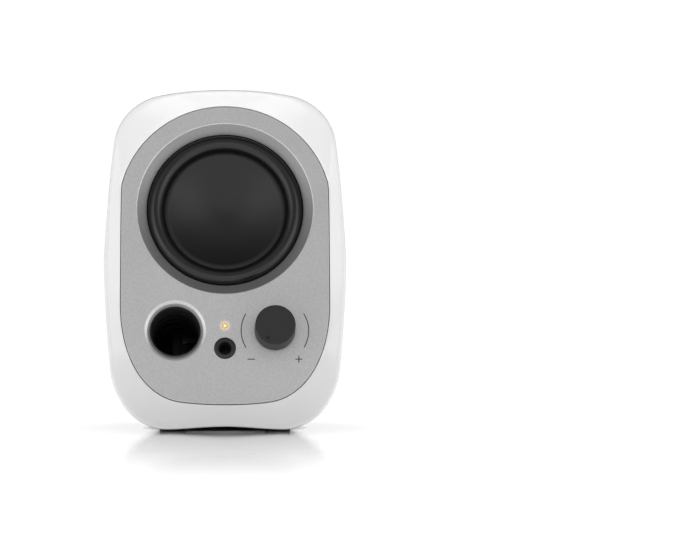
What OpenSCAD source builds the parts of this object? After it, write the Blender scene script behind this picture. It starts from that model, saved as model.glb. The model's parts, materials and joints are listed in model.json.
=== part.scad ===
// Active bookshelf speaker: a leaning, pillow-backed cabinet with a full-range
// driver, a bass port and a volume knob on its front.
//
// Two frames are used. The standing frame has +Z up and the front facing -Y.
// The leaning frame, inside stand(), has x across, y into the cabinet from the
// rim plane, and z up along the leaning front.

/* [Cabinet] */
// Width of the cabinet at its widest line
body_w = 102.6; // [98:0.1:125]
// Height of the front, measured along its lean
front_h = 148.6; // [148:0.1:180]
// Depth of the cabinet, square to the front
body_d = 87.2; // [87:0.1:110]
// Lean of the front from the sole of the cabinet, in degrees
lean = 11.5; // [8:0.5:14]
// Wall of the rear shell
wall = 2.5; // [2:0.1:3.2]
// Height of the widest line, as a share of the front's height
waist_share = 0.503; // [0.48:0.001:0.52]
// Rise of the arch under the middle of the cabinet
sole_arch = 1.2; // [0.5:0.1:2]

/* [Front] */
// Depth of the bezel's edge, from the rim to the parting line
rim_d = 2.2; // [1.8:0.1:3]
// Width of the white margin beside the fascia
margin_side = 7.2; // [6.6:0.1:8]
// Width of the white margin above the fascia
margin_top = 7.2; // [6.6:0.1:8]
// Width of the white margin under the fascia
margin_bottom = 11; // [9:0.1:14]
// Depth of the fascia's face below the rim
fascia_sink = 2; // [1.5:0.1:3]
// Thickness of the fascia
fascia_t = 2; // [1.6:0.1:3]
// Thickness of the inner baffle
baffle_t = 3.6; // [3:0.1:5]
// Gap around the fascia, and around the bezel's skirt
fit_gap = 0.25; // [0.15:0.05:0.4]

/* [Driver] */
// Radius of the driver's flange
driver_r = 36; // [30:0.1:37.5]
// Distance from the top of the front down to the driver's axis
driver_drop = 52.4; // [51:0.1:56]
// Width of the rubber surround's roll
roll_w = 6.8; // [5.5:0.1:8]
// Depth of the cone's dish
cone_dish = 8; // [6:0.5:9]
// Travel of the cone each way
cone_travel = 2; // [1:0.1:2.5]
// Radius of the voice coil's gap centre
coil_r = 10; // [9:0.1:11]
// Radius of the ferrite magnet
magnet_r = 24; // [20:0.5:26]
// Thickness of the ferrite magnet
magnet_t = 9; // [7:0.5:12]

/* [Controls] */
// Height of the port's and the knob's axes up the front
control_v = 42.6; // [40:0.1:48]
// Distance of the port and the knob from the middle
control_u = 21; // [20.5:0.1:24]
// Radius of the port tube's bore
port_r = 10; // [8:0.1:11]
// Length of the port tube behind the fascia
port_l = 44; // [30:1:50]
// Radius of the port's flare
flare_r = 3.2; // [2:0.1:3.5]
// Radius of the knob at its foot
knob_r = 8.6; // [7:0.1:9]
// Radius of the knob at its face
knob_face_r = 8.4; // [6.8:0.1:8.8]
// Height of the knob above the rim plane
knob_rise = 9.5; // [7:0.1:12]
// Radius of the shaft
shaft_r = 3; // [2.5:0.1:3.2]
// Height of the headphone jack up the front
phones_v = 35; // [33:0.1:36]
// Height of the power light up the front
light_v = 44.7; // [44:0.1:47]
// Radius of the power light
light_r = 1.1; // [0.8:0.1:1.5]

/* [Sockets] */
// Radius of the bore of a 3.5 mm jack
jack_r = 1.8; // [1.78:0.01:1.85]
// Length of the bore of a 3.5 mm jack
jack_l = 15; // [14:0.5:16]
// Radius of a 3.5 mm jack's collar
jack_collar_r = 4.45; // [4:0.05:4.6]
// Width of the rear socket panel
panel_w = 44; // [43:0.5:48]
// Height of the rear socket panel
panel_h = 31; // [30:0.5:34]
// Height of the panel's middle up the front
panel_v = 60; // [56:0.5:64]
// Distance between neighbouring rear sockets
socket_pitch = 12.5; // [11.5:0.1:13]
// Radius of the phono socket's sleeve
phono_r = 4.15; // [4.1:0.01:4.2]
// Length of the phono socket's sleeve
phono_l = 7.5; // [7:0.1:8.5]

/* [Feet] */
// Radius of a rubber foot
foot_r = 5.3; // [4:0.1:6]
// Lift of the cabinet's front, as an angle under the sole
sole_tilt = 0.5; // [0.3:0.1:1]
// Clearance under the back of the sole
rear_gap = 0.4; // [0.3:0.1:1]
// Depth of the pocket that a foot is glued into
foot_pocket = 1; // [0.6:0.1:1.4]

/* [Hidden] */
$fn = 64;

half_w = body_w / 2;
waist_v = front_h * waist_share;
stance = lean + sole_tilt;          // lean of the front when the speaker stands
sole_slope = tan(lean);             // rise of the sole per unit of depth, in the leaning frame
sole_depth = 0.84 * body_d;         // how far back the sole stays flat

// Steps through the front, in depth from the rim plane.
fascia_face = fascia_sink;
baffle_face = fascia_face + fascia_t + 0.2;
baffle_back = baffle_face + baffle_t;
skirt_inset = wall + fit_gap;       // the bezel's skirt and the baffle sit inside the shell

// Driver stack, in depth from the rim plane.
driver_v = front_h - driver_drop;
flange_t = 1;
seal_t = 0.6;
ledge_t = 2.4;
flange_face = baffle_back - seal_t - flange_t;
lip_r = driver_r - 2.5;             // inner radius of the fascia's funnel
funnel_r = driver_r + 1.7;          // outer radius of the fascia's funnel
funnel_back = flange_face - 1.2;    // the gasket fills what is left down to the flange
surround_t = 0.5;
landing = 1.5;                      // glued width at each edge of the surround
roll_out = lip_r - 0.4;
roll_in = roll_out - roll_w;
roll_mid = (roll_out + roll_in) / 2;
cone_r = roll_in - 0.3;
cone_t = 0.6;
cone_edge = flange_face + 0.05;
cone_slope = 1.7;                   // power of the dish's curve
former_t = 0.25;
coil_t = 0.45;
spider_t = 0.4;
spider_d = cone_edge + cone_dish + 6;
plate_t = 3;
plate_d = spider_d + cone_travel + 3.2;
magnet_d = plate_d + plate_t;
yoke_d = magnet_d + magnet_t;
yoke_t = 3.2;
pole_r = coil_r - former_t - 0.35;
gap_r = coil_r + coil_t + 0.35;
seat_r = magnet_r - 2.5;            // inner radius of the basket's foot
shelf_r = seat_r + 3.1;             // outer radius of the spider's shelf
basket_t = 1.2;
basket_r = lip_r - 2.2;             // inner radius of the flange
ear_r = 3.3;
ear_reach = driver_r + 2.1;
ear_angles = [45, 135, 225, 315];
coil_l = plate_t + 2 * cone_travel;
coil_d = plate_d + (plate_t - coil_l) / 2;
coil_tail = coil_d + coil_l + 0.6;
strip_d = flange_face + 6;
strip_u = basket_r - 0.6;
window_w = 29;

// Controls.
port_flare_out = port_r + flare_r;
port_wall = 1.6;
port_collar = 2;
knob_gap = 0.6;
knob_foot = fascia_face - knob_gap;
knob_wall = 1.6;
knob_hub = 4.6;
dimple_r = 0.8;
dimple_at = 6.3;
shaft_front = -knob_rise + knob_wall;
shaft_flat = 0.6;                   // depth of the flat that the knob is keyed to
running_gap = 0.05;
nut_r = 5.4;
nut_t = 1.9;
bushing_r = shaft_r + 0.8;
pot_w = 14;
pot_l = 7;
pot_wall = 1;
board_d = jack_l + 3.4;
board_t = 1.6;
board_gap = 0.8;
board_left = -control_u + port_r + port_wall + board_gap;
board_right = control_u + 12;
board_low = phones_v - 7.4;
board_high = light_v + 10;
board_bosses = [[board_left + 3.2, board_high - 3.4], [board_right - 3, board_high - 3.4],
    [board_right - 3, board_low + 3.4]];
boss_r = 2.3;
socket_face = fascia_face - 0.5;
dial_r = knob_r + 5.6;              // radius of the scale around the knob
dial_line = 0.4;
dial_cut = 0.3;
plug_w = 10;
plug_h = 5;
plug_l = 4;
ribbon_u = 13;

// Rear panel.
panel_face = body_d - 5.6;
panel_t = 2;
panel_ledge = 2;
panel_corner = 4;
panel_fit = 0.15;
panel_boss_r = 3;
panel_screw = [panel_w / 2 - 3, panel_h / 2 - 3];
amp_t = 1.6;
amp_gap = jack_l;
amp_d = panel_face - panel_t - amp_gap - amp_t;
amp_w = panel_w - 6;
amp_h = panel_h - 12.4;
rear_sockets_v = panel_v - 2.4;
pillar = [socket_pitch / 2, panel_v + amp_h / 2 - 2.6];
rear_face = panel_face + 0.4;
phono_core_r = 1.7;

// Edge of the bezel, and the groove along the cabinet's sides.
rim_round = 1;
crease_w = 0.5;
crease_l = 72;
crease_cut_depth = 0.35;
funnel_run = (funnel_r - lip_r) / (funnel_back - fascia_face);

// Feet, in distance behind the front edge of the sole.
foot_front = 15.6;
foot_rear = 0.58 * body_d;

// Fasteners.
post_r = 3.6;
post_l = 24;
post_reach = driver_r + 6.2;
post_rib = 2.4;                     // thickness of the rib that ties a post to the side wall
posts = [[half_w - 12, 33.5], [post_reach * cos(29.5), driver_v + post_reach * sin(29.5)]];
head_r = 2.2;
head_t = 1.4;
thread_r = 1.15;
bezel_thread_r = 0.8;
bezel_points = [[half_w - 5, waist_v], [12, front_h - 5.9], [12, margin_bottom - 3.6]];
fascia_pins = [[half_w - 13.6, 60], [16, margin_bottom + 7.6]];
pin_r = 1.4;

// ---------------------------------------------------------------- helpers

// Stands the leaning frame on its feet.
module stand() {
    translate([0, stand_y, stand_z]) rotate([-stance, 0, 0]) children();
}

// A cylinder whose axis runs into the cabinet, from depth d0 for length l.
module peg(r, d0, l, u = 0, v = 0) {
    translate([u, d0, v]) rotate([-90, 0, 0]) cylinder(r = r, h = l);
}

// The driver's four ears, at which its screws stand.
module ears() for (a = ear_angles)
    translate([ear_reach * cos(a), 0, driver_v + ear_reach * sin(a)]) children();

// A tube whose axis runs into the cabinet.
module ring(r_out, r_in, d0, l, u = 0, v = 0) {
    difference() {
        peg(r_out, d0, l, u, v);
        peg(r_in, d0 - 1, l + 2, u, v);
    }
}

// Turns an outline of [radius, depth] points about an axis into the cabinet.
module turned(points, u = 0, v = 0) {
    translate([u, 0, v]) rotate([-90, 0, 0]) rotate_extrude() polygon(points);
}

// Extrudes an outline of [across, up] points from depth d0 for length l.
module slab(points, d0, l) {
    translate([0, d0 + l, 0]) rotate([90, 0, 0]) linear_extrude(height = l) polygon(points);
}

// A block given by its middle across and up, its size, and its depth.
module block(u, v, w, h, d0, l) {
    translate([u - w / 2, d0, v - h / 2]) cube([w, l, h]);
}

function smooth(t) = let (c = min(1, max(0, t))) c * c * (3 - 2 * c);
function bez(p, t) = pow(1 - t, 3) * p[0] + 3 * pow(1 - t, 2) * t * p[1]
    + 3 * (1 - t) * t * t * p[2] + pow(t, 3) * p[3];
function bez_points(p, n) = [for (i = [0 : n - 1]) bez(p, i / n)];
function arc(cx, cy, r, a0, a1, n) =
    [for (i = [0 : n]) let (a = a0 + (a1 - a0) * i / n) [cx + r * cos(a), cy + r * sin(a)]];

// A half outline, given from the top middle round to the bottom middle, made whole.
function both_sides(half) =
    concat(half, [for (i = [len(half) - 2 : -1 : 1]) [-half[i][0], half[i][1]]]);

// A rectangle with round corners, as points.
function round_rect(u, v, w, h, r, n = 5) = concat(
    arc(u + w / 2 - r, v + h / 2 - r, r, 0, 90, n), arc(u - w / 2 + r, v + h / 2 - r, r, 90, 180, n),
    arc(u - w / 2 + r, v - h / 2 + r, r, 180, 270, n), arc(u + w / 2 - r, v - h / 2 + r, r, 270, 360, n));

// ---------------------------------------------------------------- outlines

// Half of the rim, from the top middle to the bottom middle, by way of the waist.
rim_half = concat(
    bez_points([[0, front_h], [10, front_h], [half_w - 31.6, front_h - 0.7], [half_w - 22.5, front_h - 2.8]], 3),
    bez_points([[half_w - 22.5, front_h - 2.8], [half_w - 12.7, front_h - 5], [half_w - 4.95, front_h - 13.4],
        [half_w - 3.75, front_h - 23.6]], 7),
    bez_points([[half_w - 3.75, front_h - 23.6], [half_w - 1.8, front_h - 40], [half_w - 0.8, waist_v + 17],
        [half_w, waist_v]], 4),
    bez_points([[half_w, waist_v], [half_w, waist_v - 15], [half_w - 1.6, 42], [half_w - 3.05, 25.6]], 4),
    bez_points([[half_w - 3.05, 25.6], [half_w - 4.2, 12.6], [half_w - 13.6, 0], [half_w - 27.1, 0]], 7),
    bez_points([[half_w - 27.1, 0], [half_w - 34, 0], [8, sole_arch], [0, sole_arch]], 3),
    [[0, sole_arch]]);

// Half of the fascia: a round top about the driver's axis, straight sides and a rounded chin.
fascia_w = half_w - margin_side;
fascia_shoulder = fascia_w - 0.3;
fascia_arc_r = driver_drop - margin_top;
fascia_kink = acos(min(1, fascia_shoulder / fascia_arc_r));
fascia_kink_u = fascia_arc_r * cos(fascia_kink);
fascia_kink_v = driver_v + fascia_arc_r * sin(fascia_kink);
fascia_half = concat(
    [for (i = [0 : 9]) let (a = 90 - i * (90 - fascia_kink) / 10)
        [fascia_arc_r * cos(a), driver_v + fascia_arc_r * sin(a)]],
    bez_points([[fascia_kink_u, fascia_kink_v], [fascia_w - 0.2, fascia_kink_v - 14],
        [fascia_w, 74], [fascia_w, 54]], 4),
    bez_points([[fascia_w, 54], [fascia_w - 0.4, margin_bottom + 17.5], [fascia_w - 12, margin_bottom + 3.2],
        [fascia_w - 25, margin_bottom + 1.2]], 11),
    bez_points([[fascia_w - 25, margin_bottom + 1.2], [fascia_w - 31, margin_bottom + 0.3],
        [7, margin_bottom], [0, margin_bottom]], 3),
    [[0, margin_bottom]]);

// The cabinet's outline at depth d, made smaller by inset, for a cabinet of depth depth.
function flat_share(x, from, p, q) = pow(1 - pow(max(0, (x - from) / (1 - from)), p), 1 / q);
function side_at(x) = half_w * flat_share(x, 0.46, 3, 2.5);
function top_at(x) = (front_h - waist_v) * flat_share(x, 0, 4.5, 2.25);
function sole_at(x, depth) = (waist_v - x * depth * sole_slope) * flat_share(x, 0.36, 10, 3.2);
function section(d, inset = 0, depth = body_d) = let (
        x = min(1, d / depth),
        w = max(0.6, side_at(x) - inset),
        up = max(0.6, top_at(x) - inset),
        down = max(0.6, sole_at(x, depth) - inset),
        round_up = 0.85 * smooth((x - 0.35) / 0.65),
        round_down = 0.85 * smooth((x - 0.62) / 0.38))
    [for (p = rim_half) let (
        rises = p[1] >= waist_v,
        reach = rises ? (p[1] - waist_v) / (front_h - waist_v) : (waist_v - p[1]) / waist_v,
        across = p[0] / half_w,
        round_share = rises ? round_up : round_down,
        size = norm([across, reach]),
        u = across * (1 - round_share) + across / size * round_share,
        v = reach * (1 - round_share) + reach / size * round_share)
        [w * u, waist_v + (rises ? up : -down) * v]];

function mix(a, b, t) = [for (i = [0 : len(a) - 1]) a[i] * (1 - t) + b[i] * t];
function fascia_grown() = [for (p = fascia_half) let (
    mid = [0, (front_h - margin_top + margin_bottom) / 2], r = norm(p - mid))
    mid + (p - mid) * (r + fit_gap) / r];

// Where the cabinet stands: its sole clears the floor at the back by rear_gap.
knob_tip_y = -knob_rise * cos(stance) + (control_v - knob_face_r) * sin(stance);
back_y = max([for (i = [0 : 60]) let (x = i / 60)
    x * body_d * cos(stance) + (waist_v + top_at(x)) * sin(stance)]);
stand_y = -(knob_tip_y + back_y) / 2;
stand_z = rear_gap + sole_depth / cos(lean) * sin(sole_tilt);

// Closes a stack of rings of equal counts into one solid. Rings run front to back outside,
// then back to front inside, and each is a list of 3-D points.
module skin(rings) {
    n = len(rings[0]);
    last = len(rings) - 1;
    polyhedron(
        points = [for (r = rings) for (p = r) p],
        faces = concat(
            [for (k = [0 : last]) for (i = [0 : n - 1]) let (
                j = (i + 1) % n, a = k * n, b = ((k + 1) % (last + 1)) * n)
                [a + i, b + i, b + j]],
            [for (k = [0 : last]) for (i = [0 : n - 1]) let (
                j = (i + 1) % n, a = k * n, b = ((k + 1) % (last + 1)) * n)
                [a + i, b + j, a + j]]));
}

// Closes a stack of rings whose two ends are flat.
module loft(rings) {
    n = len(rings[0]);
    last = len(rings) - 1;
    polyhedron(
        points = [for (r = rings) for (p = r) p],
        faces = concat(
            [[for (i = [0 : n - 1]) i]],
            [for (k = [0 : last - 1]) for (i = [0 : n - 1]) let (j = (i + 1) % n)
                [k * n + i, (k + 1) * n + i, (k + 1) * n + j]],
            [for (k = [0 : last - 1]) for (i = [0 : n - 1]) let (j = (i + 1) % n)
                [k * n + i, (k + 1) * n + j, k * n + j]],
            [[for (i = [n - 1 : -1 : 0]) last * n + i]]));
}

function ring_at_depth(d, inset) = [for (p = both_sides(section(d, inset))) [p[0], d, p[1]]];
function ring_at(d, inset = 0, depth = body_d) = [for (p = both_sides(section(d, inset, depth))) [p[0], d, p[1]]];
function lifted(points, d) = [for (p = points) [p[0], d, p[1]]];

// A wire of radius r swept along a route, with 8 sides.
function along(route, k) = let (
        a = route[max(0, k - 1)], b = route[min(len(route) - 1, k + 1)]) (b - a) / norm(b - a);
module wire(route, r, sides = 8) {
    loft([for (k = [0 : len(route) - 1]) let (
            t = along(route, k),
            s = cross(t, [0.31, 0.17, 0.93]) / norm(cross(t, [0.31, 0.17, 0.93])),
            w = cross(t, s))
        [for (i = [0 : sides - 1]) route[k] + r * (s * cos(360 * i / sides) + w * sin(360 * i / sides))]]);
}

// ---------------------------------------------------------------- cabinet

shell_rings = 13;
function shell_depth(k, from, depth) = from + (depth - from) * (1 - pow(1 - 0.965 * k / shell_rings, 2.3));

module foot_place(y) for (side = [-1, 1])
    translate([side * (half_w - 29), stand_y + y, 0]) children();

// Height of the sole above the floor at distance y behind its front edge.
function sole_height(y) = stand_z - y * sin(sole_tilt);

module rear_shell() color("white") {
    outer = [for (k = [0 : shell_rings]) ring_at(shell_depth(k, rim_d, body_d))];
    inner = [for (k = [0 : shell_rings]) let (d = shell_depth(k, rim_d, body_d - wall))
        ring_at(k == 0 ? rim_d - 1 : d, wall, body_d - wall)];
    difference() {
        stand() loft(outer);
        stand() difference() {
            loft(inner);
            for (side = [-1, 1], p = posts) {
                peg(post_r, baffle_back, post_l, side * p[0], p[1]);
                block(side * (p[0] + half_w) / 2, p[1], half_w - p[0], post_rib, baffle_back, post_l);
            }
            slab(round_rect(0, panel_v, panel_w + 4, panel_h + 4, panel_corner + 2),
                panel_face - panel_t - 4, 20);
        }
        stand() {
            slab(round_rect(0, panel_v, panel_w, panel_h, panel_corner), panel_face - panel_t, 20);
            difference() {
                slab(round_rect(0, panel_v, panel_w - 2 * panel_ledge, panel_h - 2 * panel_ledge,
                    panel_corner - 1), panel_face - panel_t - 12, 14);
                panel_corners() peg(panel_boss_r, panel_face - panel_t - 13, 20);
            }
            panel_corners() peg(thread_r, panel_face - panel_t - 3.4, 8);
            for (side = [-1, 1], p = posts)
                peg(thread_r, baffle_back - 1, 14, side * p[0], p[1]);
        }
        foot_place(foot_front) cylinder(r = foot_r + 0.1, h = sole_height(foot_front) + foot_pocket);
        foot_place(foot_rear) cylinder(r = foot_r + 0.1, h = sole_height(foot_rear) + foot_pocket);
        crease_cut();
    }
}

// The fine groove along each side, which runs back from the rim at the widest line.
module crease_cut() stand() for (side = [-1, 1])
    block(side * half_w, waist_v + 0.6, 2 * crease_cut_depth, crease_w, -1, crease_l + 1);

module panel_corners() for (u = [-1, 1], v = [-1, 1])
    translate([u * panel_screw[0], 0, panel_v + v * panel_screw[1]]) children();

module front_bezel() color("white") {
    hole = fascia_grown();
    crest = section(0, rim_round);
    difference() {
        stand() skin([
            ring_at_depth(0, rim_round), ring_at_depth(rim_round * 0.3, rim_round * 0.3),
            ring_at_depth(rim_round, 0), ring_at_depth(rim_d, 0),
            ring_at_depth(rim_d, skirt_inset), ring_at_depth(baffle_face, skirt_inset),
            lifted(both_sides(hole), baffle_face), lifted(both_sides(hole), fascia_face - 0.1),
            lifted(both_sides(mix(crest, hole, 0.72)), fascia_face * 0.74),
            lifted(both_sides(mix(crest, hole, 0.36)), fascia_face * 0.36),
            lifted(both_sides(mix(crest, hole, 0.1)), fascia_face * 0.04)]);
        stand() for (side = [-1, 1], p = bezel_points)
            peg(bezel_thread_r, baffle_face - 2.2, 4, side * p[0], p[1]);
        crease_cut();
    }
}

module inner_baffle() color("dimgray") stand() difference() {
    union() {
        slab(both_sides(section(baffle_back, skirt_inset)), baffle_face, baffle_t);
        peg(driver_r + 2, baffle_back - 1, ledge_t + 1, 0, driver_v);
        ears() peg(ear_r + 1.2, baffle_back - 1, ledge_t + 1);
        for (b = board_bosses) peg(boss_r, baffle_back - 1, board_d - baffle_back + 1, b[0], b[1]);
    }
    peg(driver_r + 0.3, baffle_face - 1, baffle_t + 1, 0, driver_v);
    ears() peg(ear_r + 0.3, baffle_face - 1, baffle_t + 1);
    peg(basket_r + basket_t + 0.8, baffle_face, 20, 0, driver_v);
    ears() peg(thread_r, baffle_face, 20);
    peg(port_r + port_wall + 0.05, 0, 20, -control_u, control_v);
    peg(bushing_r + 0.1, 0, 20, control_u, control_v);
    peg(jack_collar_r + 0.1, 0, 20, 0, phones_v);
    peg(light_r + 0.1, 0, 20, 0, light_v);
    for (b = board_bosses) peg(bezel_thread_r, board_d - 6, 10, b[0], b[1]);
    for (side = [-1, 1]) {
        for (p = posts) {
            peg(thread_r + 0.3, 0, 20, side * p[0], p[1]);
            peg(head_r + 0.3, baffle_face - 1, head_t + 1.2, side * p[0], p[1]);
        }
        for (p = bezel_points) peg(bezel_thread_r + 0.2, 0, 20, side * p[0], p[1]);
        for (p = fascia_pins) peg(pin_r + 0.05, 0, 20, side * p[0], p[1]);
    }
}

module fascia() color("silver") stand() difference() {
    union() {
        slab(both_sides(fascia_half), fascia_face, fascia_t);
        peg(lip_r + 2.3, fascia_face + 0.5, funnel_back - fascia_face - 0.5, 0, driver_v);
        peg(port_r + port_wall, fascia_face + 0.5, flare_r + 0.6, -control_u, control_v);
        for (side = [-1, 1], p = fascia_pins)
            peg(pin_r, fascia_face + 0.5, fascia_t + baffle_t - 0.8, side * p[0], p[1]);
    }
    turned([[0, fascia_face - 1], [funnel_r + funnel_run, fascia_face - 1],
        [lip_r - funnel_run, funnel_back + 1], [0, funnel_back + 1]], 0, driver_v);
    turned(concat([[0, fascia_face - 1], [port_flare_out + 0.4, fascia_face - 1],
        [port_flare_out, fascia_face]], [for (i = [1 : 6]) let (a = 90 - 15 * i)
        [port_flare_out - flare_r * cos(a), fascia_face + flare_r * (1 - sin(a))]],
        [[port_r, fascia_face + flare_r + 2], [0, fascia_face + flare_r + 2]]), -control_u, control_v);
    peg(nut_r + 0.5, 0, 10, control_u, control_v);
    peg(jack_collar_r + 0.05, 0, 10, 0, phones_v);
    peg(light_r + 0.05, 0, 10, 0, light_v);
    for (a = [-31, 149]) translate([control_u, fascia_face - 1, control_v])
        rotate([-90, 0, 0]) rotate([0, 0, a]) rotate_extrude(angle = 62)
            translate([dial_r - dial_line / 2, 0]) square([dial_line, 1 + dial_cut]);
    for (side = [-1, 1])
        block(control_u + side * 10, control_v - 12.3, 3, dial_line, fascia_face - 1, 1 + dial_cut);
    block(control_u + 10, control_v - 12.3, dial_line, 3, fascia_face - 1, 1 + dial_cut);
}

module port_tube() color("black") stand() difference() {
    tube_d = fascia_face + flare_r + 1.3;
    union() {
        peg(port_r + port_wall, tube_d, port_l, -control_u, control_v);
        peg(port_r + port_wall + port_collar, baffle_back, 2, -control_u, control_v);
    }
    peg(port_r, tube_d - 1, port_l + 2, -control_u, control_v);
    turned([[0, tube_d + port_l - 2], [port_r, tube_d + port_l - 2], [port_r + 1.2, tube_d + port_l + 0.2],
        [0, tube_d + port_l + 0.2]], -control_u, control_v);
}

module front_feet() color("black") foot_place(foot_front)
    foot(sole_height(foot_front) + foot_pocket);

module rear_feet() color("black") foot_place(foot_rear)
    foot(sole_height(foot_rear) + foot_pocket);

module foot(h) {
    cylinder(r1 = foot_r - 0.3, r2 = foot_r, h = 0.3);
    translate([0, 0, 0.3]) cylinder(r = foot_r, h = h - 0.35);
}

// A screw driven into the cabinet, or toward its front, with its head's seat at depth d.
module screw(u, v, d, l, forward = false, head = head_r, thread = thread_r) {
    translate([u, d, v]) rotate([forward ? 90 : -90, 0, 0]) {
        difference() {
            union() {
                translate([0, 0, -head_t + 0.3]) cylinder(r = head, h = head_t - 0.3);
                translate([0, 0, -head_t]) cylinder(r1 = head - 0.4, r2 = head, h = 0.3);
            }
            for (a = [0, 90]) rotate([0, 0, a])
                translate([-head * 0.65, -0.3, -head_t - 1]) cube([head * 1.3, 0.6, 1.8]);
        }
        cylinder(r = thread - 0.05, h = l);
    }
}

module case_screws() color("silver") stand() for (side = [-1, 1], p = posts)
    screw(side * p[0], p[1], baffle_face + head_t + 0.2, 12);

module bezel_screws() color("silver") stand() for (side = [-1, 1], p = bezel_points)
    screw(side * p[0], p[1], baffle_back, baffle_t + 1.8, true, 1.6, bezel_thread_r);

// ---------------------------------------------------------------- driver

module driver_frame() color("gray") stand() difference() {
    union() {
        turned([[driver_r, flange_face], [driver_r, flange_face + flange_t],
            [basket_r + basket_t, flange_face + flange_t], [shelf_r + basket_t, spider_d - 1],
            [shelf_r + basket_t, spider_d + 1.5], [seat_r + basket_t, plate_d],
            [gap_r + 2.5, plate_d], [gap_r + 2.5, plate_d - 1.2], [seat_r, plate_d - 1.2],
            [seat_r, spider_d + spider_t], [shelf_r, spider_d + spider_t], [shelf_r, spider_d - 1],
            [basket_r, flange_face + flange_t + 0.6], [basket_r, flange_face]], 0, driver_v);
        difference() {
            ears() peg(ear_r, flange_face, flange_t);
            peg(driver_r - 1, flange_face - 1, 4, 0, driver_v);
        }
    }
    ears() peg(thread_r + 0.2, flange_face - 1, 4);
    for (a = ear_angles) translate([0, 0, driver_v]) rotate([0, -a, 0])
        translate([seat_r, flange_face + flange_t + 1.4, -window_w / 2])
            cube([driver_r, spider_d - flange_face - flange_t - 3.4, window_w]);
}

module driver_gasket() color("black") stand()
    ring(driver_r - 0.3, lip_r + 0.1, funnel_back + 0.02, flange_face - surround_t - funnel_back - 0.04, 0, driver_v);

module driver_seal() color("black") stand()
    ring(driver_r, basket_r + basket_t + 0.9, flange_face + flange_t, seal_t, 0, driver_v);

module driver_screws() color("silver") stand() for (a = ear_angles)
    screw(ear_reach * cos(a), driver_v + ear_reach * sin(a), flange_face, 4);

module top_plate() color("silver") stand() ring(seat_r + 1, gap_r, plate_d, plate_t, 0, driver_v);

module magnet() color("black") stand() ring(magnet_r, gap_r + 3.4, magnet_d, magnet_t, 0, driver_v);

module pole_yoke() color("silver") stand() turned([[0, plate_d - 0.6], [pole_r - 0.4, plate_d - 0.6],
    [pole_r, plate_d - 0.2], [pole_r, yoke_d], [magnet_r - 1, yoke_d], [magnet_r - 1, yoke_d + yoke_t - 0.6],
    [magnet_r - 1.6, yoke_d + yoke_t], [0, yoke_d + yoke_t]], 0, driver_v);

// One roll of rubber between two flat landings.
module surround() color("black") stand() turned(concat(
    [[lip_r + landing, flange_face], [lip_r + landing, flange_face - surround_t]],
    arc(roll_mid, flange_face - surround_t, roll_w / 2, 0, -180, 12),
    [[roll_in - landing, flange_face - surround_t], [roll_in - landing, flange_face]],
    arc(roll_mid, flange_face, roll_w / 2 - surround_t, -180, 0, 12)), 0, driver_v);

function ripple(r) = 0.65 * sin(360 * (r - coil_r - 1.6) / 3.6);
module spider() color("goldenrod") stand() {
    r_in = coil_r + 0.05;
    r_rim = seat_r - 0.6;
    waves = [for (i = [0 : 22]) coil_r + 1.6 + (r_rim - coil_r - 1.6) * i / 22];
    turned(concat([[r_in, spider_d]], [for (r = waves) [r, spider_d + ripple(r) * min(1, (r_rim - r) / 1.5)]],
        [[shelf_r - 0.1, spider_d], [shelf_r - 0.1, spider_d + spider_t]],
        [for (i = [22 : -1 : 0]) let (r = waves[i])
            [r, spider_d + spider_t + ripple(r) * min(1, (r_rim - r) / 1.5)]],
        [[r_in, spider_d + spider_t]]), 0, driver_v);
}

// Depth of the cone's face at radius r.
cone_flat = cone_r - 1.6;
function dish(r) = cone_edge + cone_dish * (1 - pow(r / cone_flat, cone_slope));
former_d = dish(coil_r - former_t) + cone_t * 1.15 + 0.03;
module cone() color("black") stand() turned(concat(
    [[cone_r, cone_edge], [cone_r, cone_edge + cone_t]],
    [for (i = [0 : 12]) let (r = cone_flat * (1 - i / 12)) [r, dish(r) + cone_t * 1.15]],
    [for (i = [12 : -1 : 0]) let (r = cone_flat * (1 - i / 12)) [r, dish(r)]]), 0, driver_v);

module coil_former() color("tan") stand()
    ring(coil_r, coil_r - former_t, former_d, coil_tail - former_d, 0, driver_v);

module voice_coil() color("chocolate") stand() ring(coil_r + coil_t, coil_r, coil_d, coil_l, 0, driver_v);

module terminal_strip() color("tan") stand() {
    difference() {
        translate([strip_u, strip_d, driver_v - 6]) cube([1.6, 6, 12]);
        for (side = [-1, 1]) translate([strip_u - 1, strip_d + 3, driver_v + side * 4])
            rotate([0, 90, 0]) cylinder(r = 0.5, h = 4);
    }
    translate([shelf_r + basket_t - 0.2, strip_d + 2.5, driver_v - 2]) cube([strip_u - shelf_r - basket_t + 0.7, 2.5, 4]);
}

module tinsel_leads() color("peru") stand() for (side = [-1, 1]) wire([
    [coil_r + 2, dish(coil_r + 2) + 1.2, driver_v + side * 3],
    [coil_r + 5, dish(coil_r + 2) + 2.2, driver_v + side * 5.4],
    [coil_r + 9, dish(coil_r + 2) + 2.4, driver_v + side * 6.6],
    [shelf_r, strip_d + 3.6, driver_v + side * 7.2],
    [strip_u - 1.8, strip_d + 3.2, driver_v + side * 6.9],
    [strip_u - 1, strip_d + 3, driver_v + side * 5],
    [strip_u - 0.4, strip_d + 3, driver_v + side * 4],
    [strip_u + 2, strip_d + 3, driver_v + side * 4]], 0.32);

// ---------------------------------------------------------------- controls

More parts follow.
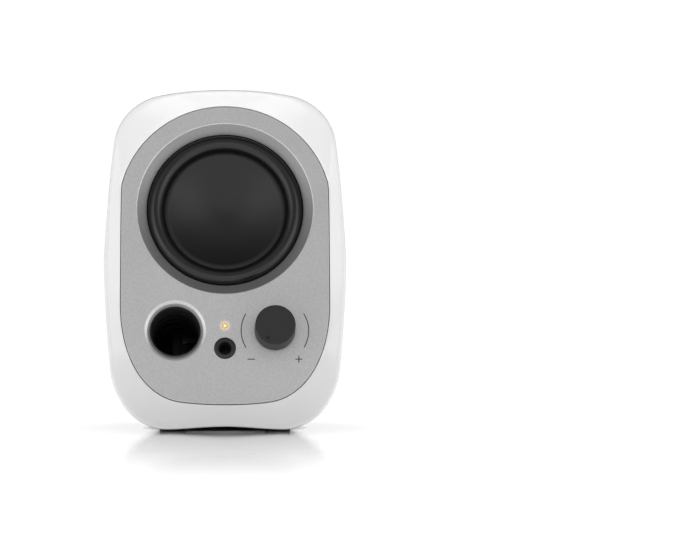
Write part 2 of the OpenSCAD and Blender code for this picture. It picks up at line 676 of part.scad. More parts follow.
module knob_cap() color("black") stand() difference() {
    union() {
        turned([[knob_face_r - 0.5, -knob_rise], [knob_face_r - 0.15, -knob_rise + 0.15],
            [knob_face_r, -knob_rise + 0.5], [knob_r, knob_foot - 0.3], [knob_r - 0.3, knob_foot],
            [knob_r - knob_wall, knob_foot], [knob_r - knob_wall, -knob_rise + knob_wall + 0.01],
            [knob_hub, -knob_rise + knob_wall + 0.01], [knob_hub, knob_foot - 0.9],
            [0, knob_foot - 0.9], [0, -knob_rise]], control_u, control_v);
    }
    difference() {
        peg(shaft_r + 0.01, shaft_front, 20, control_u, control_v);
        block(control_u, control_v + shaft_r + 1 - shaft_flat + 0.01, 12, 2, shaft_front - 1, 30);
    }
    translate([control_u - dimple_at * sin(30), -knob_rise - 0.5, control_v - dimple_at * cos(30)])
        sphere(r = dimple_r);
}

module pot_shaft() color("silver") stand() difference() {
    peg(shaft_r, shaft_front + 0.1, baffle_back + 3.8 - shaft_front, control_u, control_v);
    block(control_u, control_v + shaft_r + 1 - shaft_flat, 12, 2, shaft_front - 1, knob_foot - shaft_front + 0.6);
}

module pot_wiper() color("goldenrod") stand() {
    difference() {
        peg(5, baffle_back + 2.2, 1.2, control_u, control_v);
        peg(shaft_r, baffle_back + 2, 2, control_u, control_v);
    }
    translate([control_u - 4.6 * sin(30) - 0.6, baffle_back + 3.3, control_v - 4.6 * cos(30) - 0.6])
        cube([1.2, 0.8, 1.2]);
}

module pot_case() color("dimgray") stand() {
    difference() {
        union() {
            block(control_u, control_v, pot_w, pot_w, baffle_back, pot_l);
            peg(bushing_r, baffle_face - nut_t + 0.1, baffle_t + nut_t + 0.5, control_u, control_v);
        }
        peg(shaft_r + running_gap, 0, baffle_back + 2, control_u, control_v);
        peg(pot_w / 2 - pot_wall, baffle_back + pot_wall, pot_l - 2 * pot_wall, control_u, control_v);
    }
    for (i = [-1, 0, 1])
        peg(0.4, baffle_back + pot_l - 0.5, board_d + board_t + 1.3 - baffle_back - pot_l, control_u + i * 2.5,
            control_v - pot_w / 2 + 1.4);
}

module pot_track() color("black") stand()
    ring(pot_w / 2 - pot_wall - 0.1, 1.5, baffle_back + 4.5, 1, control_u, control_v);

module pot_nut() color("silver") stand() difference() {
    translate([control_u, baffle_face - nut_t, control_v]) rotate([-90, 0, 0])
        cylinder(r = nut_r, h = nut_t, $fn = 6);
    peg(bushing_r, 0, 10, control_u, control_v);
}

module control_board() color("green") stand() difference() {
    translate([board_left, board_d, board_low]) cube([board_right - board_left, board_t, board_high - board_low]);
    for (b = board_bosses) peg(bezel_thread_r + 0.2, board_d - 1, 4, b[0], b[1]);
    for (i = [-1, 0, 1])
        peg(0.5, board_d - 1, 4, control_u + i * 2.5, control_v - pot_w / 2 + 1.4);
    for (side = [-1, 1]) peg(0.5, board_d - 1, 4, side * 3, phones_v - 3);
}

module control_board_screws() color("silver") stand() for (b = board_bosses)
    screw(b[0], b[1], board_d + board_t, 5, true, 1.7, bezel_thread_r);

// A 3.5 mm jack that faces the front, with its collar's face at depth d.
module headphone_jack() color("black") stand() {
    difference() {
        union() {
            turned([[0, socket_face], [jack_collar_r - 0.5, socket_face], [jack_collar_r, socket_face + 0.4],
                [jack_collar_r, baffle_back + 0.6], [0, baffle_back + 0.6]], 0, phones_v);
            block(0, phones_v, 9.6, 9.6, baffle_back + 0.1, socket_face + jack_l + 1.2 - baffle_back);
        }
        peg(jack_r, socket_face - 1, jack_l + 1, 0, phones_v);
        turned([[0, socket_face - 0.2], [jack_r + 0.9, socket_face - 0.2], [jack_r, socket_face + 0.7],
            [0, socket_face + 0.7]], 0, phones_v);
    }
    for (side = [-1, 1])
        peg(0.4, socket_face + jack_l + 1, board_d + board_t - socket_face - jack_l, side * 3, phones_v - 3);
}

module light_pipe() color("white") stand() {
    peg(light_r, fascia_face - 0.15, board_d - fascia_face - 1.5, 0, light_v);
    peg(light_r + 0.7, baffle_back + 0.05, 1, 0, light_v);
}

module power_led() color("orange") stand() block(0, light_v, 2.4, 2, board_d - 1.2, 1.2);

// ---------------------------------------------------------------- rear panel

module rear_panel() color("dimgray") stand() {
    difference() {
        slab(round_rect(0, panel_v, panel_w - 2 * panel_fit, panel_h - 2 * panel_fit, panel_corner - panel_fit),
            panel_face - panel_t, panel_t);
        peg(jack_collar_r + 0.05, panel_face - 10, 20, 0, rear_sockets_v);
        peg(phono_r + 1.45, panel_face - 10, 20, socket_pitch, rear_sockets_v);
        slab(round_rect(-socket_pitch, rear_sockets_v, 9.3, 3.7, 1.5), panel_face - 10, 20);
        panel_corners() peg(thread_r + 0.2, panel_face - 10, 20);
    }
    for (side = [-1, 1]) difference() {
        peg(2.3, panel_face - panel_t - amp_gap, amp_gap, side * pillar[0], pillar[1]);
        peg(bezel_thread_r, panel_face - panel_t - amp_gap - 1, 7, side * pillar[0], pillar[1]);
    }
}

module rear_panel_screws() color("silver") stand() panel_corners() screw(0, 0, panel_face, 5, true);

module amp_board() color("green") stand() difference() {
    block(0, panel_v, amp_w, amp_h, amp_d, amp_t);
    for (side = [-1, 1]) peg(bezel_thread_r + 0.2, amp_d - 1, 4, side * pillar[0], pillar[1]);
}

module amp_board_screws() color("silver") stand() for (side = [-1, 1])
    screw(side * pillar[0], pillar[1], amp_d, 6, false, 1.7, bezel_thread_r);

module amp_chip() color("black") stand() {
    block(-amp_w / 2 + 7, panel_v - 1, 8, 8, amp_d - 1.4, 1.4);
    for (i = [-3 : 3]) block(-amp_w / 2 + 7 + i, panel_v - 1, 0.4, 10, amp_d - 0.3, 0.3);
}

module amp_capacitors() color("navy") stand() for (i = [0, 1])
    turned([[0, amp_d - 9], [2.8, amp_d - 9], [3.1, amp_d - 8.7], [3.1, amp_d - 1.6], [2.9, amp_d - 1.3],
        [3.1, amp_d - 1], [3.1, amp_d], [0, amp_d]], -3.4 + i * 6.8, panel_v - 5);

module amp_coils() color("darkgray") stand() for (i = [0, 1])
    turned([[0, amp_d - 4.4], [2.4, amp_d - 4.4], [2.4, amp_d - 3.8], [1.8, amp_d - 3.6], [1.8, amp_d - 0.8],
        [2.4, amp_d - 0.6], [2.4, amp_d], [0, amp_d]], -amp_w / 2 + 3 + i * 5, panel_v + amp_h / 2 - 2.7);

module usb_socket() color("silver") stand() {
    difference() {
        slab(round_rect(-socket_pitch, rear_sockets_v, 9, 3.4, 1.4), panel_face - 9, 9.2);
        slab(round_rect(-socket_pitch, rear_sockets_v, 8.4, 2.8, 1.1), panel_face - 7.6, 10);
    }
    block(-socket_pitch, rear_sockets_v, 6.6, 0.7, panel_face - 8, 7.4);
    block(-socket_pitch, rear_sockets_v, 8.4, 3, amp_d + amp_t, panel_face - 8.5 - amp_d - amp_t);
}

module line_in_jack() color("seagreen") stand() difference() {
    union() {
        turned([[0, rear_face], [jack_collar_r - 0.5, rear_face], [jack_collar_r, rear_face - 0.4],
            [jack_collar_r, panel_face - panel_t - 1], [0, panel_face - panel_t - 1]], 0, rear_sockets_v);
        block(0, rear_sockets_v, 9.2, 9.2, amp_d + amp_t, amp_gap - 0.1);
    }
    peg(jack_r, rear_face - jack_l, jack_l + 1, 0, rear_sockets_v);
    turned([[0, rear_face + 0.2], [jack_r + 0.9, rear_face + 0.2], [jack_r, rear_face - 0.7],
        [0, rear_face - 0.7]], 0, rear_sockets_v);
}

module speaker_out_socket() color("firebrick") stand() {
    difference() {
        union() {
            peg(phono_r + 1.4, panel_face - panel_t - 1, panel_t + 1.5, socket_pitch, rear_sockets_v);
            peg(phono_r, panel_face, phono_l + 0.5, socket_pitch, rear_sockets_v);
            block(socket_pitch, rear_sockets_v, 9.8, 9.8, amp_d + amp_t, amp_gap - 0.1);
        }
        peg(phono_core_r, panel_face - 6, 30, socket_pitch, rear_sockets_v);
    }
}

// ---------------------------------------------------------------- wiring

module wire_plug() color("white") stand()
    block(amp_w / 2 - 6, panel_v + 5.5, plug_w - 1, plug_h, amp_d - plug_l, plug_l);

module ribbon_plugs() color("white") stand() {
    block(ribbon_u, board_low + 5, plug_w, plug_h, board_d + board_t, plug_l);
    block(ribbon_u, panel_v - 5.5, plug_w, plug_h, amp_d - plug_l, plug_l);
}

module control_ribbon() color("gray") stand() {
    d0 = board_d + board_t + plug_l + 0.4;
    d1 = amp_d - plug_l - 0.4;
    v0 = board_low + 5;
    v1 = panel_v - 5.5;
    path = [for (i = [0 : 12]) let (t = i / 12, s = smooth(t))
        [d0 + (d1 - d0) * t, v0 + (v1 - v0) * s - 7 * sin(180 * t)]];
    slab_path(path, ribbon_u, 8, 0.7);
}

// A flat band of width w and thickness t along a path of [depth, up] points.
module slab_path(path, u, w, t) {
    loft([for (k = [0 : len(path) - 1]) let (
            a = path[max(0, k - 1)], b = path[min(len(path) - 1, k + 1)],
            n = [-(b - a)[1], (b - a)[0]] / norm(b - a) * t / 2, p = path[k])
        [[u - w / 2, p[0] + n[0], p[1] + n[1]], [u + w / 2, p[0] + n[0], p[1] + n[1]],
         [u + w / 2, p[0] - n[0], p[1] - n[1]], [u - w / 2, p[0] - n[0], p[1] - n[1]]]]);
}

// The pair starts one above the other at the terminals and ends side by side in its plug.
module driver_wires() color("firebrick") stand() {
    drop = driver_v - panel_v;
    for (side = [-1, 1]) wire([
        [strip_u + 2.9, strip_d + 3.4, driver_v + side * 4],
        [strip_u + 4.6, strip_d + 8, driver_v + side * 3.4],
        [strip_u + 3.6 + side * 1.2, strip_d + 18, driver_v - 0.11 * drop + side * 2.4],
        [strip_u - 1 + side * 1.6, strip_d + 30, driver_v - 0.44 * drop + side * 1.2],
        [amp_w / 2 - 1 + side * 1.6, strip_d + 38, driver_v - 0.69 * drop + side * 0.6],
        [amp_w / 2 - 6 + side * 1.4, amp_d - plug_l - 4, panel_v + 6],
        [amp_w / 2 - 6 + side * 1.4, amp_d - plug_l - 0.1, panel_v + 5.5]], 0.65);
}

rear_shell();
front_bezel();
inner_baffle();
fascia();
port_tube();
front_feet();
rear_feet();
case_screws();
bezel_screws();
driver_frame();
driver_gasket();
driver_seal();
driver_screws();
magnet();
top_plate();
pole_yoke();
surround();
spider();
terminal_strip();
tinsel_leads();
cone();
coil_former();
voice_coil();
knob_cap();
pot_shaft();
pot_wiper();
pot_case();
pot_track();
pot_nut();
control_board();
control_board_screws();
headphone_jack();
light_pipe();
power_led();
rear_panel();
rear_panel_screws();
amp_board();
amp_board_screws();
amp_chip();
amp_capacitors();
amp_coils();
usb_socket();
line_in_jack();
speaker_out_socket();
driver_wires();
control_ribbon();
ribbon_plugs();
wire_plug();
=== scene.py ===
"""The looks of a powered bookshelf speaker: white cabinet, silver front, driver, controls and back.

Sizes are millimetres in the leaning frame of the front: u runs across, d runs back from the rim and v runs
up the front. A piece is modelled upright in that frame, in metres, and then leaned back into its place.
"""

import json
import logging
import math
from dataclasses import dataclass, field
from enum import Enum
from typing import Callable, Sequence

import bmesh
import bpy
from mathutils import Matrix, Vector
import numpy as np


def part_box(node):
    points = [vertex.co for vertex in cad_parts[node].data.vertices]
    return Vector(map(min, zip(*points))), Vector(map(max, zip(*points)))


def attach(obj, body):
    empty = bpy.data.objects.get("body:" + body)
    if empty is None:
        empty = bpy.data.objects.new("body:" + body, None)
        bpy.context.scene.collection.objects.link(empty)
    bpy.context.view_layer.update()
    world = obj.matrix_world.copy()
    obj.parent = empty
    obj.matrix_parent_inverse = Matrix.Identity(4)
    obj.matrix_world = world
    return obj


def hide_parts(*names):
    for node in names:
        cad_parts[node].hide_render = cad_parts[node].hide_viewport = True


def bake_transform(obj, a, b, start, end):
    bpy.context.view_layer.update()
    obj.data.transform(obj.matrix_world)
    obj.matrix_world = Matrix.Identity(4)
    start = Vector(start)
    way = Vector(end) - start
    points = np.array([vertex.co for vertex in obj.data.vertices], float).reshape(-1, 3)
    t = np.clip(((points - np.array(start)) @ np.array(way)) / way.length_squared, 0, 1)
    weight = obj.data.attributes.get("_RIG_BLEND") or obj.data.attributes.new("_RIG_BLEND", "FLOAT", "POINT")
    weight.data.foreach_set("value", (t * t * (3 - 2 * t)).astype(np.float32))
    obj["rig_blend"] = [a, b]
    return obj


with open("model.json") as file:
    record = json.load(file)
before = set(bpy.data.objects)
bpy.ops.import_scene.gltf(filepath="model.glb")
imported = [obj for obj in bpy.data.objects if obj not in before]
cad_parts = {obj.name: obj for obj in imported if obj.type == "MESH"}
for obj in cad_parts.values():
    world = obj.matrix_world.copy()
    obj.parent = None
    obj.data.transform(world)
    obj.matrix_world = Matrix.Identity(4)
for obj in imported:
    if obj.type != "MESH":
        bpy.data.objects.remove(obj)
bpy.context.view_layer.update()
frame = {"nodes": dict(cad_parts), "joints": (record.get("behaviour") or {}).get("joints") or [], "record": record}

LOG = logging.getLogger("speaker")
MM = 0.001
STATION = "station"
FINE = 3  # steps along an outline for each step of the drawn curve

Flat = tuple[float, float]
Place = tuple[float, float, float]
Colour = tuple[float, float, float]


# ---------------------------------------------------------------- the leaning frame


@dataclass(frozen=True)
class Lean:
    """The leaning frame of the front, and where it stands in the row frame.

    Args:
        angle: how far the front leans back, in radians.
        y: depth of the frame's own origin, in mm.
        z: height of the frame's own origin, in mm.
    """

    angle: float
    y: float
    z: float

    @classmethod
    def of_hinge(cls, d: float, v: float) -> "Lean":
        """Works the frame out from the volume control's hinge.

        Args:
            d: depth of the hinge's point.
            v: height of the hinge's point up the front.

        Returns:
            The leaning frame.
        """
        hinge = next(joint for joint in frame["joints"] if joint["name"] == "volume_turn")
        angle = math.atan2(-hinge["axis"][2], hinge["axis"][1])
        c, s = math.cos(angle), math.sin(angle)
        y, z = (value / MM for value in hinge["pos_m"][1:])
        return cls(angle, y - d * c - v * s, z + d * s - v * c)

    def matrix(self) -> Matrix:
        """The turn and shift from the upright workbench to the row frame."""
        return Matrix.Translation(Vector((0, self.y, self.z)) * MM) @ Matrix.Rotation(-self.angle, 4, "X")

    def point(self, u: float, d: float, v: float) -> Vector:
        """A point of the leaning frame, in metres in the row frame."""
        return self.matrix() @ (Vector((u, d, v)) * MM)


LEAN = Lean.of_hinge(d=-4, v=42.6)
OUTWARD = LEAN.matrix().to_3x3() @ Vector((0, -1, 0))


# ---------------------------------------------------------------- outlines


def ramp(t: float) -> float:
    """A smooth step from 0 to 1."""
    c = min(1.0, max(0.0, t))
    return c * c * (3 - 2 * c)


def bezier(p: Sequence[Flat], steps: int) -> list[Flat]:
    """Points along a cubic curve, without its last one.

    Args:
        p: the four control points.
        steps: how many points to give.

    Returns:
        The points.
    """
    points = []
    for i in range(steps):
        t = i / steps
        w = ((1 - t) ** 3, 3 * (1 - t) ** 2 * t, 3 * (1 - t) * t * t, t**3)
        points.append(tuple(sum(k * q[axis] for k, q in zip(w, p)) for axis in (0, 1)))
    return points


def arc(centre: Flat, radius: float, start: float, end: float, steps: int) -> list[Flat]:
    """Points along an arc, both ends included, with its angles in degrees."""
    angles = (math.radians(start + (end - start) * i / steps) for i in range(steps + 1))
    return [(centre[0] + radius * math.cos(a), centre[1] + radius * math.sin(a)) for a in angles]


def both_sides(half: Sequence[Flat]) -> list[Flat]:
    """A closed outline from its right half, which runs from top middle to bottom middle."""
    return [*half, *((-u, v) for u, v in reversed(half[1:-1]))]


def round_rect(centre: Flat, size: Flat, radius: float, steps: int = 8) -> list[Flat]:
    """The outline of a rectangle with round corners.

    Args:
        centre: its middle, across and up.
        size: its width and height.
        radius: radius of its corners.
        steps: steps round each corner.

    Returns:
        The points.
    """
    (u, v), (w, h) = centre, (size[0] / 2 - radius, size[1] / 2 - radius)
    corners = ((u + w, v + h, 0), (u - w, v + h, 90), (u - w, v - h, 180), (u + w, v - h, 270))
    return [p for cu, cv, a in corners for p in arc((cu, cv), radius, a, a + 90, steps)]


def inset(outline: Sequence[Flat], by: float) -> list[Flat]:
    """An outline moved inward by a distance, or outward where it is negative.

    Args:
        outline: a closed outline that is convex, in either direction.
        by: the distance.

    Returns:
        The moved outline, with as many points.
    """
    count = len(outline)
    middle = Vector((0, sum(p[1] for p in outline) / count))
    moved = []
    for i, p in enumerate(outline):
        along = Vector(outline[(i + 1) % count]) - Vector(outline[i - 1])
        inward = Vector((-along.y, along.x)).normalized()
        if inward.dot(middle - Vector(p)) < 0:
            inward = -inward
        moved.append(tuple(Vector(p) + inward * by))
    return moved


def blended(a: Sequence[Flat], b: Sequence[Flat], share: float) -> list[Flat]:
    """An outline between two others that have as many points."""
    return [(p[0] + (q[0] - p[0]) * share, p[1] + (q[1] - p[1]) * share) for p, q in zip(a, b)]


def at_depth(outline: Sequence[Flat], d: float) -> list[Place]:
    """An outline set at a depth."""
    return [(u, d, v) for u, v in outline]


# ---------------------------------------------------------------- the workbench


class Ends(Enum):
    """How a stack of rings is closed."""

    FLAT = "flat"
    POINT = "point"
    JOINED = "joined"
    OPEN = "open"


class Cut(Enum):
    """What one body does to another."""

    AWAY = "DIFFERENCE"
    TOGETHER = "UNION"


def pick(*parts: bpy.types.Object) -> None:
    """Selects these pieces alone and makes the first one active."""
    if bpy.context.mode != "OBJECT":
        bpy.ops.object.mode_set(mode="OBJECT")
    bpy.ops.object.select_all(action="DESELECT")
    for part in parts:
        part.select_set(True)
    if parts:
        bpy.context.view_layer.objects.active = parts[0]


def named(name: str) -> bpy.types.Object:
    """Names the primitive just added and settles its place into its mesh.

    Args:
        name: the piece's name.

    Returns:
        The piece.
    """
    part = bpy.context.object
    part.name = part.data.name = name
    bpy.ops.object.transform_apply(location=True, rotation=True, scale=True)
    return part


def select_open_edges() -> bool:
    """Selects the open edges of the mesh in edit mode, and says whether there are any.

    Returns:
        Whether any edge is open.
    """
    bpy.ops.mesh.select_all(action="DESELECT")
    bpy.ops.mesh.select_non_manifold(extend=False, use_wire=True, use_multi_face=False,
                                     use_non_contiguous=False, use_verts=False)
    mesh = bmesh.from_edit_mesh(bpy.context.object.data)
    return any(edge.select for edge in mesh.edges)


def cap(ends: Ends) -> None:
    """Closes the ring that is selected in edit mode.

    Args:
        ends: how the ring is closed.
    """
    if ends is Ends.FLAT:
        bpy.ops.mesh.edge_face_add()
    if ends is Ends.POINT:
        bpy.ops.mesh.extrude_region_move()
        bpy.ops.mesh.merge(type="CENTER")


def close(last: Ends, first: Ends) -> None:
    """Closes a stack of rings whose last ring is selected in edit mode.

    Args:
        last: how the last ring is closed.
        first: how the first ring is closed.
    """
    cap(last)
    if first is not Ends.OPEN and select_open_edges():
        if first is Ends.JOINED:
            bpy.ops.mesh.bridge_edge_loops()
        else:
            cap(first)
    bpy.ops.mesh.select_all(action="SELECT")
    bpy.ops.mesh.remove_doubles(threshold=1e-7)
    bpy.ops.mesh.normals_make_consistent(inside=False)
    bpy.ops.object.mode_set(mode="OBJECT")


def skinned(name: str, rings: Sequence[Sequence[Place]], last: Ends, first: Ends) -> bpy.types.Object:
    """A skin extruded ring by ring, where each new ring is moved onto its own outline.

    Args:
        name: the piece's name.
        rings: outlines in mm, all with as many points.
        last: how the last ring is closed.
        first: how the first ring is closed.

    Returns:
        The new piece.
    """
    pick()
    bpy.ops.mesh.primitive_circle_add(vertices=len(rings[0]), radius=MM, rotation=(math.pi / 2, 0, 0))
    part = named(name)
    bpy.ops.object.mode_set(mode="EDIT")
    bpy.ops.mesh.select_mode(type="VERT")
    bpy.ops.mesh.select_all(action="SELECT")
    mesh = bmesh.from_edit_mesh(part.data)
    station = mesh.verts.layers.int.new(STATION)
    for index, vert in enumerate(mesh.verts):
        vert[station] = index
        vert.co = Vector(rings[0][index]) * MM
    bmesh.update_edit_mesh(part.data)
    for ring in rings[1:]:
        bpy.ops.mesh.extrude_region_move()
        mesh = bmesh.from_edit_mesh(part.data)
        station = mesh.verts.layers.int[STATION]
        for vert in mesh.verts:
            if vert.select:
                vert.co = Vector(ring[vert[station]]) * MM
        bmesh.update_edit_mesh(part.data)
    close(last, first)
    part.data.attributes.remove(part.data.attributes[STATION])
    return part


def turned(name: str, profile: Sequence[Flat], centre: Flat = (0, 0), last: Ends = Ends.POINT,
           first: Ends = Ends.POINT, count: int = 96) -> bpy.types.Object:
    """A round piece whose axis runs in depth: a circle extruded and resized along a profile.

    Args:
        name: the piece's name.
        profile: radius and depth, in mm, from the first ring to the last.
        centre: where the axis passes, across and up.
        last: how the last ring is closed.
        first: how the first ring is closed.
        count: points around.

    Returns:
        The new piece.
    """
    pick()
    (u, v), (radius, d) = centre, profile[0]
    bpy.ops.mesh.primitive_circle_add(vertices=count, radius=radius * MM, rotation=(math.pi / 2, 0, 0),
                                      location=(u * MM, d * MM, v * MM))
    part = named(name)
    bpy.ops.object.mode_set(mode="EDIT")
    bpy.ops.mesh.select_mode(type="VERT")
    bpy.ops.mesh.select_all(action="SELECT")
    for (r0, d0), (r1, d1) in zip(profile, profile[1:]):
        bpy.ops.mesh.extrude_region_move(TRANSFORM_OT_translate={"value": (0, (d1 - d0) * MM, 0)})
        if abs(r1 - r0) > 1e-9:
            share = r1 / r0
            bpy.ops.transform.resize(value=(share, 1, share), center_override=(u * MM, d1 * MM, v * MM))
    close(last, first)
    return part


def slab(name: str, outline: Sequence[Flat], d0: float, d1: float) -> bpy.types.Object:
    """A flat body between two depths."""
    return skinned(name, [at_depth(outline, d0), at_depth(outline, d1)], Ends.FLAT, Ends.FLAT)


def block(name: str, middle: Place, size: Place) -> bpy.types.Object:
    """A box with its long edges eased, for small bars and for cutting.

    Args:
        name: the piece's name.
        middle: its middle.
        size: across, in depth and up.

    Returns:
        The new piece.
    """
    pick()
    bpy.ops.mesh.primitive_cube_add(size=MM, location=[k * MM for k in middle], scale=size)
    part = named(name)
    bpy.ops.object.mode_set(mode="EDIT")
    bpy.ops.mesh.select_all(action="SELECT")
    bpy.ops.mesh.bevel(offset=min(size) * 0.08 * MM, segments=1)
    bpy.ops.object.mode_set(mode="OBJECT")
    return part


def joined(*parts: bpy.types.Object) -> bpy.types.Object:
    """Joins meshes into the first one.

    Args:
        parts: the pieces, the first of which stays.

    Returns:
        The first piece.
    """
    pick(*parts)
    bpy.ops.object.join()
    return parts[0]


def work(part: bpy.types.Object, tool: bpy.types.Object, cut: Cut = Cut.AWAY) -> bpy.types.Object:
    """Cuts one body from another or joins the two, and throws the tool away.

    Args:
        part: the piece that stays.
        tool: the body that shapes it.
        cut: what the tool does.

    Returns:
        The piece.
    """
    pick(part)
    bpy.ops.object.modifier_add(type="BOOLEAN")
    modifier = part.modifiers[-1]
    modifier.object = tool
    modifier.operation = cut.value
    modifier.solver = "EXACT"
    bpy.ops.object.modifier_apply(modifier=modifier.name)
    bpy.data.objects.remove(tool)
    return part


def spun_bar(name: str, centre: Flat, radius: float, bar: Flat, d: Flat, turn: Flat) -> bpy.types.Object:
    """A bar spun part of the way round an axis that runs in depth.

    Args:
        name: the piece's name.
        centre: where the axis passes.
        radius: distance from the axis to the bar's middle.
        bar: the bar's width, and the number of steps round.
        d: the depths that it spans.
        turn: first and last angle, in degrees from straight across.

    Returns:
        The new piece.
    """
    pick()
    (u, v), start = centre, math.radians(turn[0])
    bpy.ops.mesh.primitive_plane_add(size=MM, rotation=(0, -start, 0), location=(
        (u + radius * math.cos(start)) * MM, (d[0] + d[1]) / 2 * MM, (v + radius * math.sin(start)) * MM))
    bpy.context.object.scale = (bar[0], d[1] - d[0], 1)
    part = named(name)
    bpy.ops.object.mode_set(mode="EDIT")
    bpy.ops.mesh.select_all(action="SELECT")
    bpy.ops.mesh.spin(steps=int(bar[1]), angle=math.radians(turn[1] - turn[0]),
                      center=(u * MM, 0, v * MM), axis=(0, 1, 0))
    bpy.ops.mesh.select_all(action="SELECT")
    bpy.ops.mesh.remove_doubles(threshold=1e-7)
    bpy.ops.mesh.normals_make_consistent(inside=False)
    bpy.ops.object.mode_set(mode="OBJECT")
    return part


def strand(name: str, route: Sequence[Place], radius: float, count: int = 12) -> bpy.types.Object:
    """A round wire that runs through points.

    Args:
        name: the piece's name.
        route: the points, in mm.
        radius: the wire's radius.
        count: points around it.

    Returns:
        The new piece.
    """
    knots = [Vector(p) for p in route]
    knots = [2 * knots[0] - knots[1], *knots, 2 * knots[-1] - knots[-2]]
    path = []
    for a, b, c, e in zip(knots, knots[1:], knots[2:], knots[3:]):
        for i in range(6):
            t = i / 6
            path.append(0.5 * (2 * b + (c - a) * t + (2 * a - 5 * b + 4 * c - e) * t * t
                               + (3 * b - a - 3 * c + e) * t * t * t))
    path.append(knots[-2])
    rings = []
    for i, point in enumerate(path):
        along = (path[min(i + 1, len(path) - 1)] - path[max(i - 1, 0)]).normalized()
        side = along.cross(Vector((0.31, 0.93, 0.17))).normalized()
        up = along.cross(side)
        turns = (math.tau * k / count for k in range(count))
        rings.append([tuple(point + radius * (side * math.cos(a) + up * math.sin(a))) for a in turns])
    return skinned(name, rings, Ends.FLAT, Ends.FLAT)


def copied(part: bpy.types.Object, name: str, shift: Place) -> bpy.types.Object:
    """A copy with its own mesh, moved by a distance in mm.

    Args:
        part: the piece to copy.
        name: the copy's name.
        shift: how far the copy is moved.

    Returns:
        The copy.
    """
    pick(part)
    bpy.ops.object.duplicate(linked=False)
    twin = bpy.context.object
    twin.location = Vector(shift) * MM
    return named(name)


def shade(part: bpy.types.Object, angle: float = 32, weighted: bool = False) -> None:
    """Shades a piece smooth up to an angle between faces.

    Args:
        part: the piece.
        angle: the sharpest smooth edge, in degrees.
        weighted: whether large faces keep their own normal, as beside cut holes.
    """
    pick(part)
    bpy.ops.object.shade_smooth_by_angle(angle=math.radians(angle))
    if weighted:
        bpy.ops.object.modifier_add(type="WEIGHTED_NORMAL")
        part.modifiers[-1].keep_sharp = True
        part.modifiers[-1].weight = 80
        bpy.ops.object.modifier_apply(modifier=part.modifiers[-1].name)


def lean_back(part: bpy.types.Object) -> None:
    """Moves an upright piece into its place in the row frame.

    Args:
        part: the upright piece.
    """
    pick(part)
    part.matrix_world = LEAN.matrix()
    bpy.ops.object.transform_apply(location=True, rotation=True, scale=True)


# ---------------------------------------------------------------- finishes


class Graph:
    """A small helper that adds and links nodes in one tree."""

    def __init__(self, tree: bpy.types.NodeTree) -> None:
        """Starts from an empty tree."""
        self.tree = tree
        tree.nodes.clear()

    def add(self, kind: str, inputs: dict | None = None, **values: object) -> bpy.types.Node:
        """Adds a node.

        Args:
            kind: the node's type.
            inputs: a value, or another node's output, for each input by name or number.
            values: the node's own settings.

        Returns:
            The node.
        """
        node = self.tree.nodes.new(kind)
        for key, value in values.items():
            setattr(node, key, value)
        for key, value in (inputs or {}).items():
            if isinstance(value, bpy.types.NodeSocket):
                self.tree.links.new(value, node.inputs[key])
            else:
                node.inputs[key].default_value = value
        return node

    def math(self, operation: str, a: object, b: object = 0.0, clamp: bool = False) -> bpy.types.NodeSocket:
        """The result of one sum on two values or outputs."""
        node = self.add("ShaderNodeMath", {0: a, 1: b}, operation=operation, use_clamp=clamp)
        return node.outputs[0]

    def noise(self, vector: object, scale: object, detail: float = 2,
              rough: float = 0.5) -> bpy.types.NodeSocket:
        """The grey output of a noise pattern."""
        inputs = {"Vector": vector, "Scale": scale, "Detail": detail, "Roughness": rough}
        return self.add("ShaderNodeTexNoise", inputs).outputs["Fac"]

    def stretched(self, vector: object, scale: Place) -> bpy.types.NodeSocket:
        """Coordinates stretched along the axes."""
        return self.add("ShaderNodeMapping", {"Vector": vector, "Scale": scale}).outputs[0]


def make_group(name: str, outputs: Sequence[str], draw: Callable[[Graph, bpy.types.Node], dict]) -> None:
    """Builds one shared effect as a node group with a Vector and a Size in mm.

    Args:
        name: the group's name.
        outputs: the names of its grey outputs.
        draw: gives a socket for each output.
    """
    tree = bpy.data.node_groups.new(name, "ShaderNodeTree")
    tree.interface.new_socket(name="Vector", in_out="INPUT", socket_type="NodeSocketVector")
    size = tree.interface.new_socket(name="Size", in_out="INPUT", socket_type="NodeSocketFloat")
    size.default_value = 1.0
    for output in outputs:
        tree.interface.new_socket(name=output, in_out="OUTPUT", socket_type="NodeSocketFloat")
    graph = Graph(tree)
    start = graph.add("NodeGroupInput")
    end = graph.add("NodeGroupOutput")
    for output, socket in draw(graph, start).items():
        tree.links.new(socket, end.inputs[output])


def per_size(g: Graph, start: bpy.types.Node) -> bpy.types.NodeSocket:
    """The scale that makes a pattern as fine as the group's Size, in mm."""
    return g.math("DIVIDE", 1 / MM, start.outputs["Size"])


class Grain(Enum):
    """The kinds of surface grain, each a shared node group."""

    GLOSS = "gloss_ripple"
    MOULDED = "moulded_grain"
    FLAKE = "paint_flake"
    FIBRE = "pressed_fibre"
    WEAVE = "crossed_threads"
    WOUND = "wound_wire"
    BRUSHED = "drawn_metal"
    SINTERED = "sintered_grain"


def gloss_ripple(g: Graph, start: bpy.types.Node) -> dict:
    """The faint long ripple of a polished moulding.

    Args:
        g: the tree that is drawn in.
        start: the group's input node.

    Returns:
        The socket of each output.
    """
    scale = per_size(g, start)
    long = g.noise(start.outputs["Vector"], scale, 1)
    fine = g.noise(start.outputs["Vector"], g.math("MULTIPLY", scale, 9), 2)
    return {"Height": long, "Tone": fine}


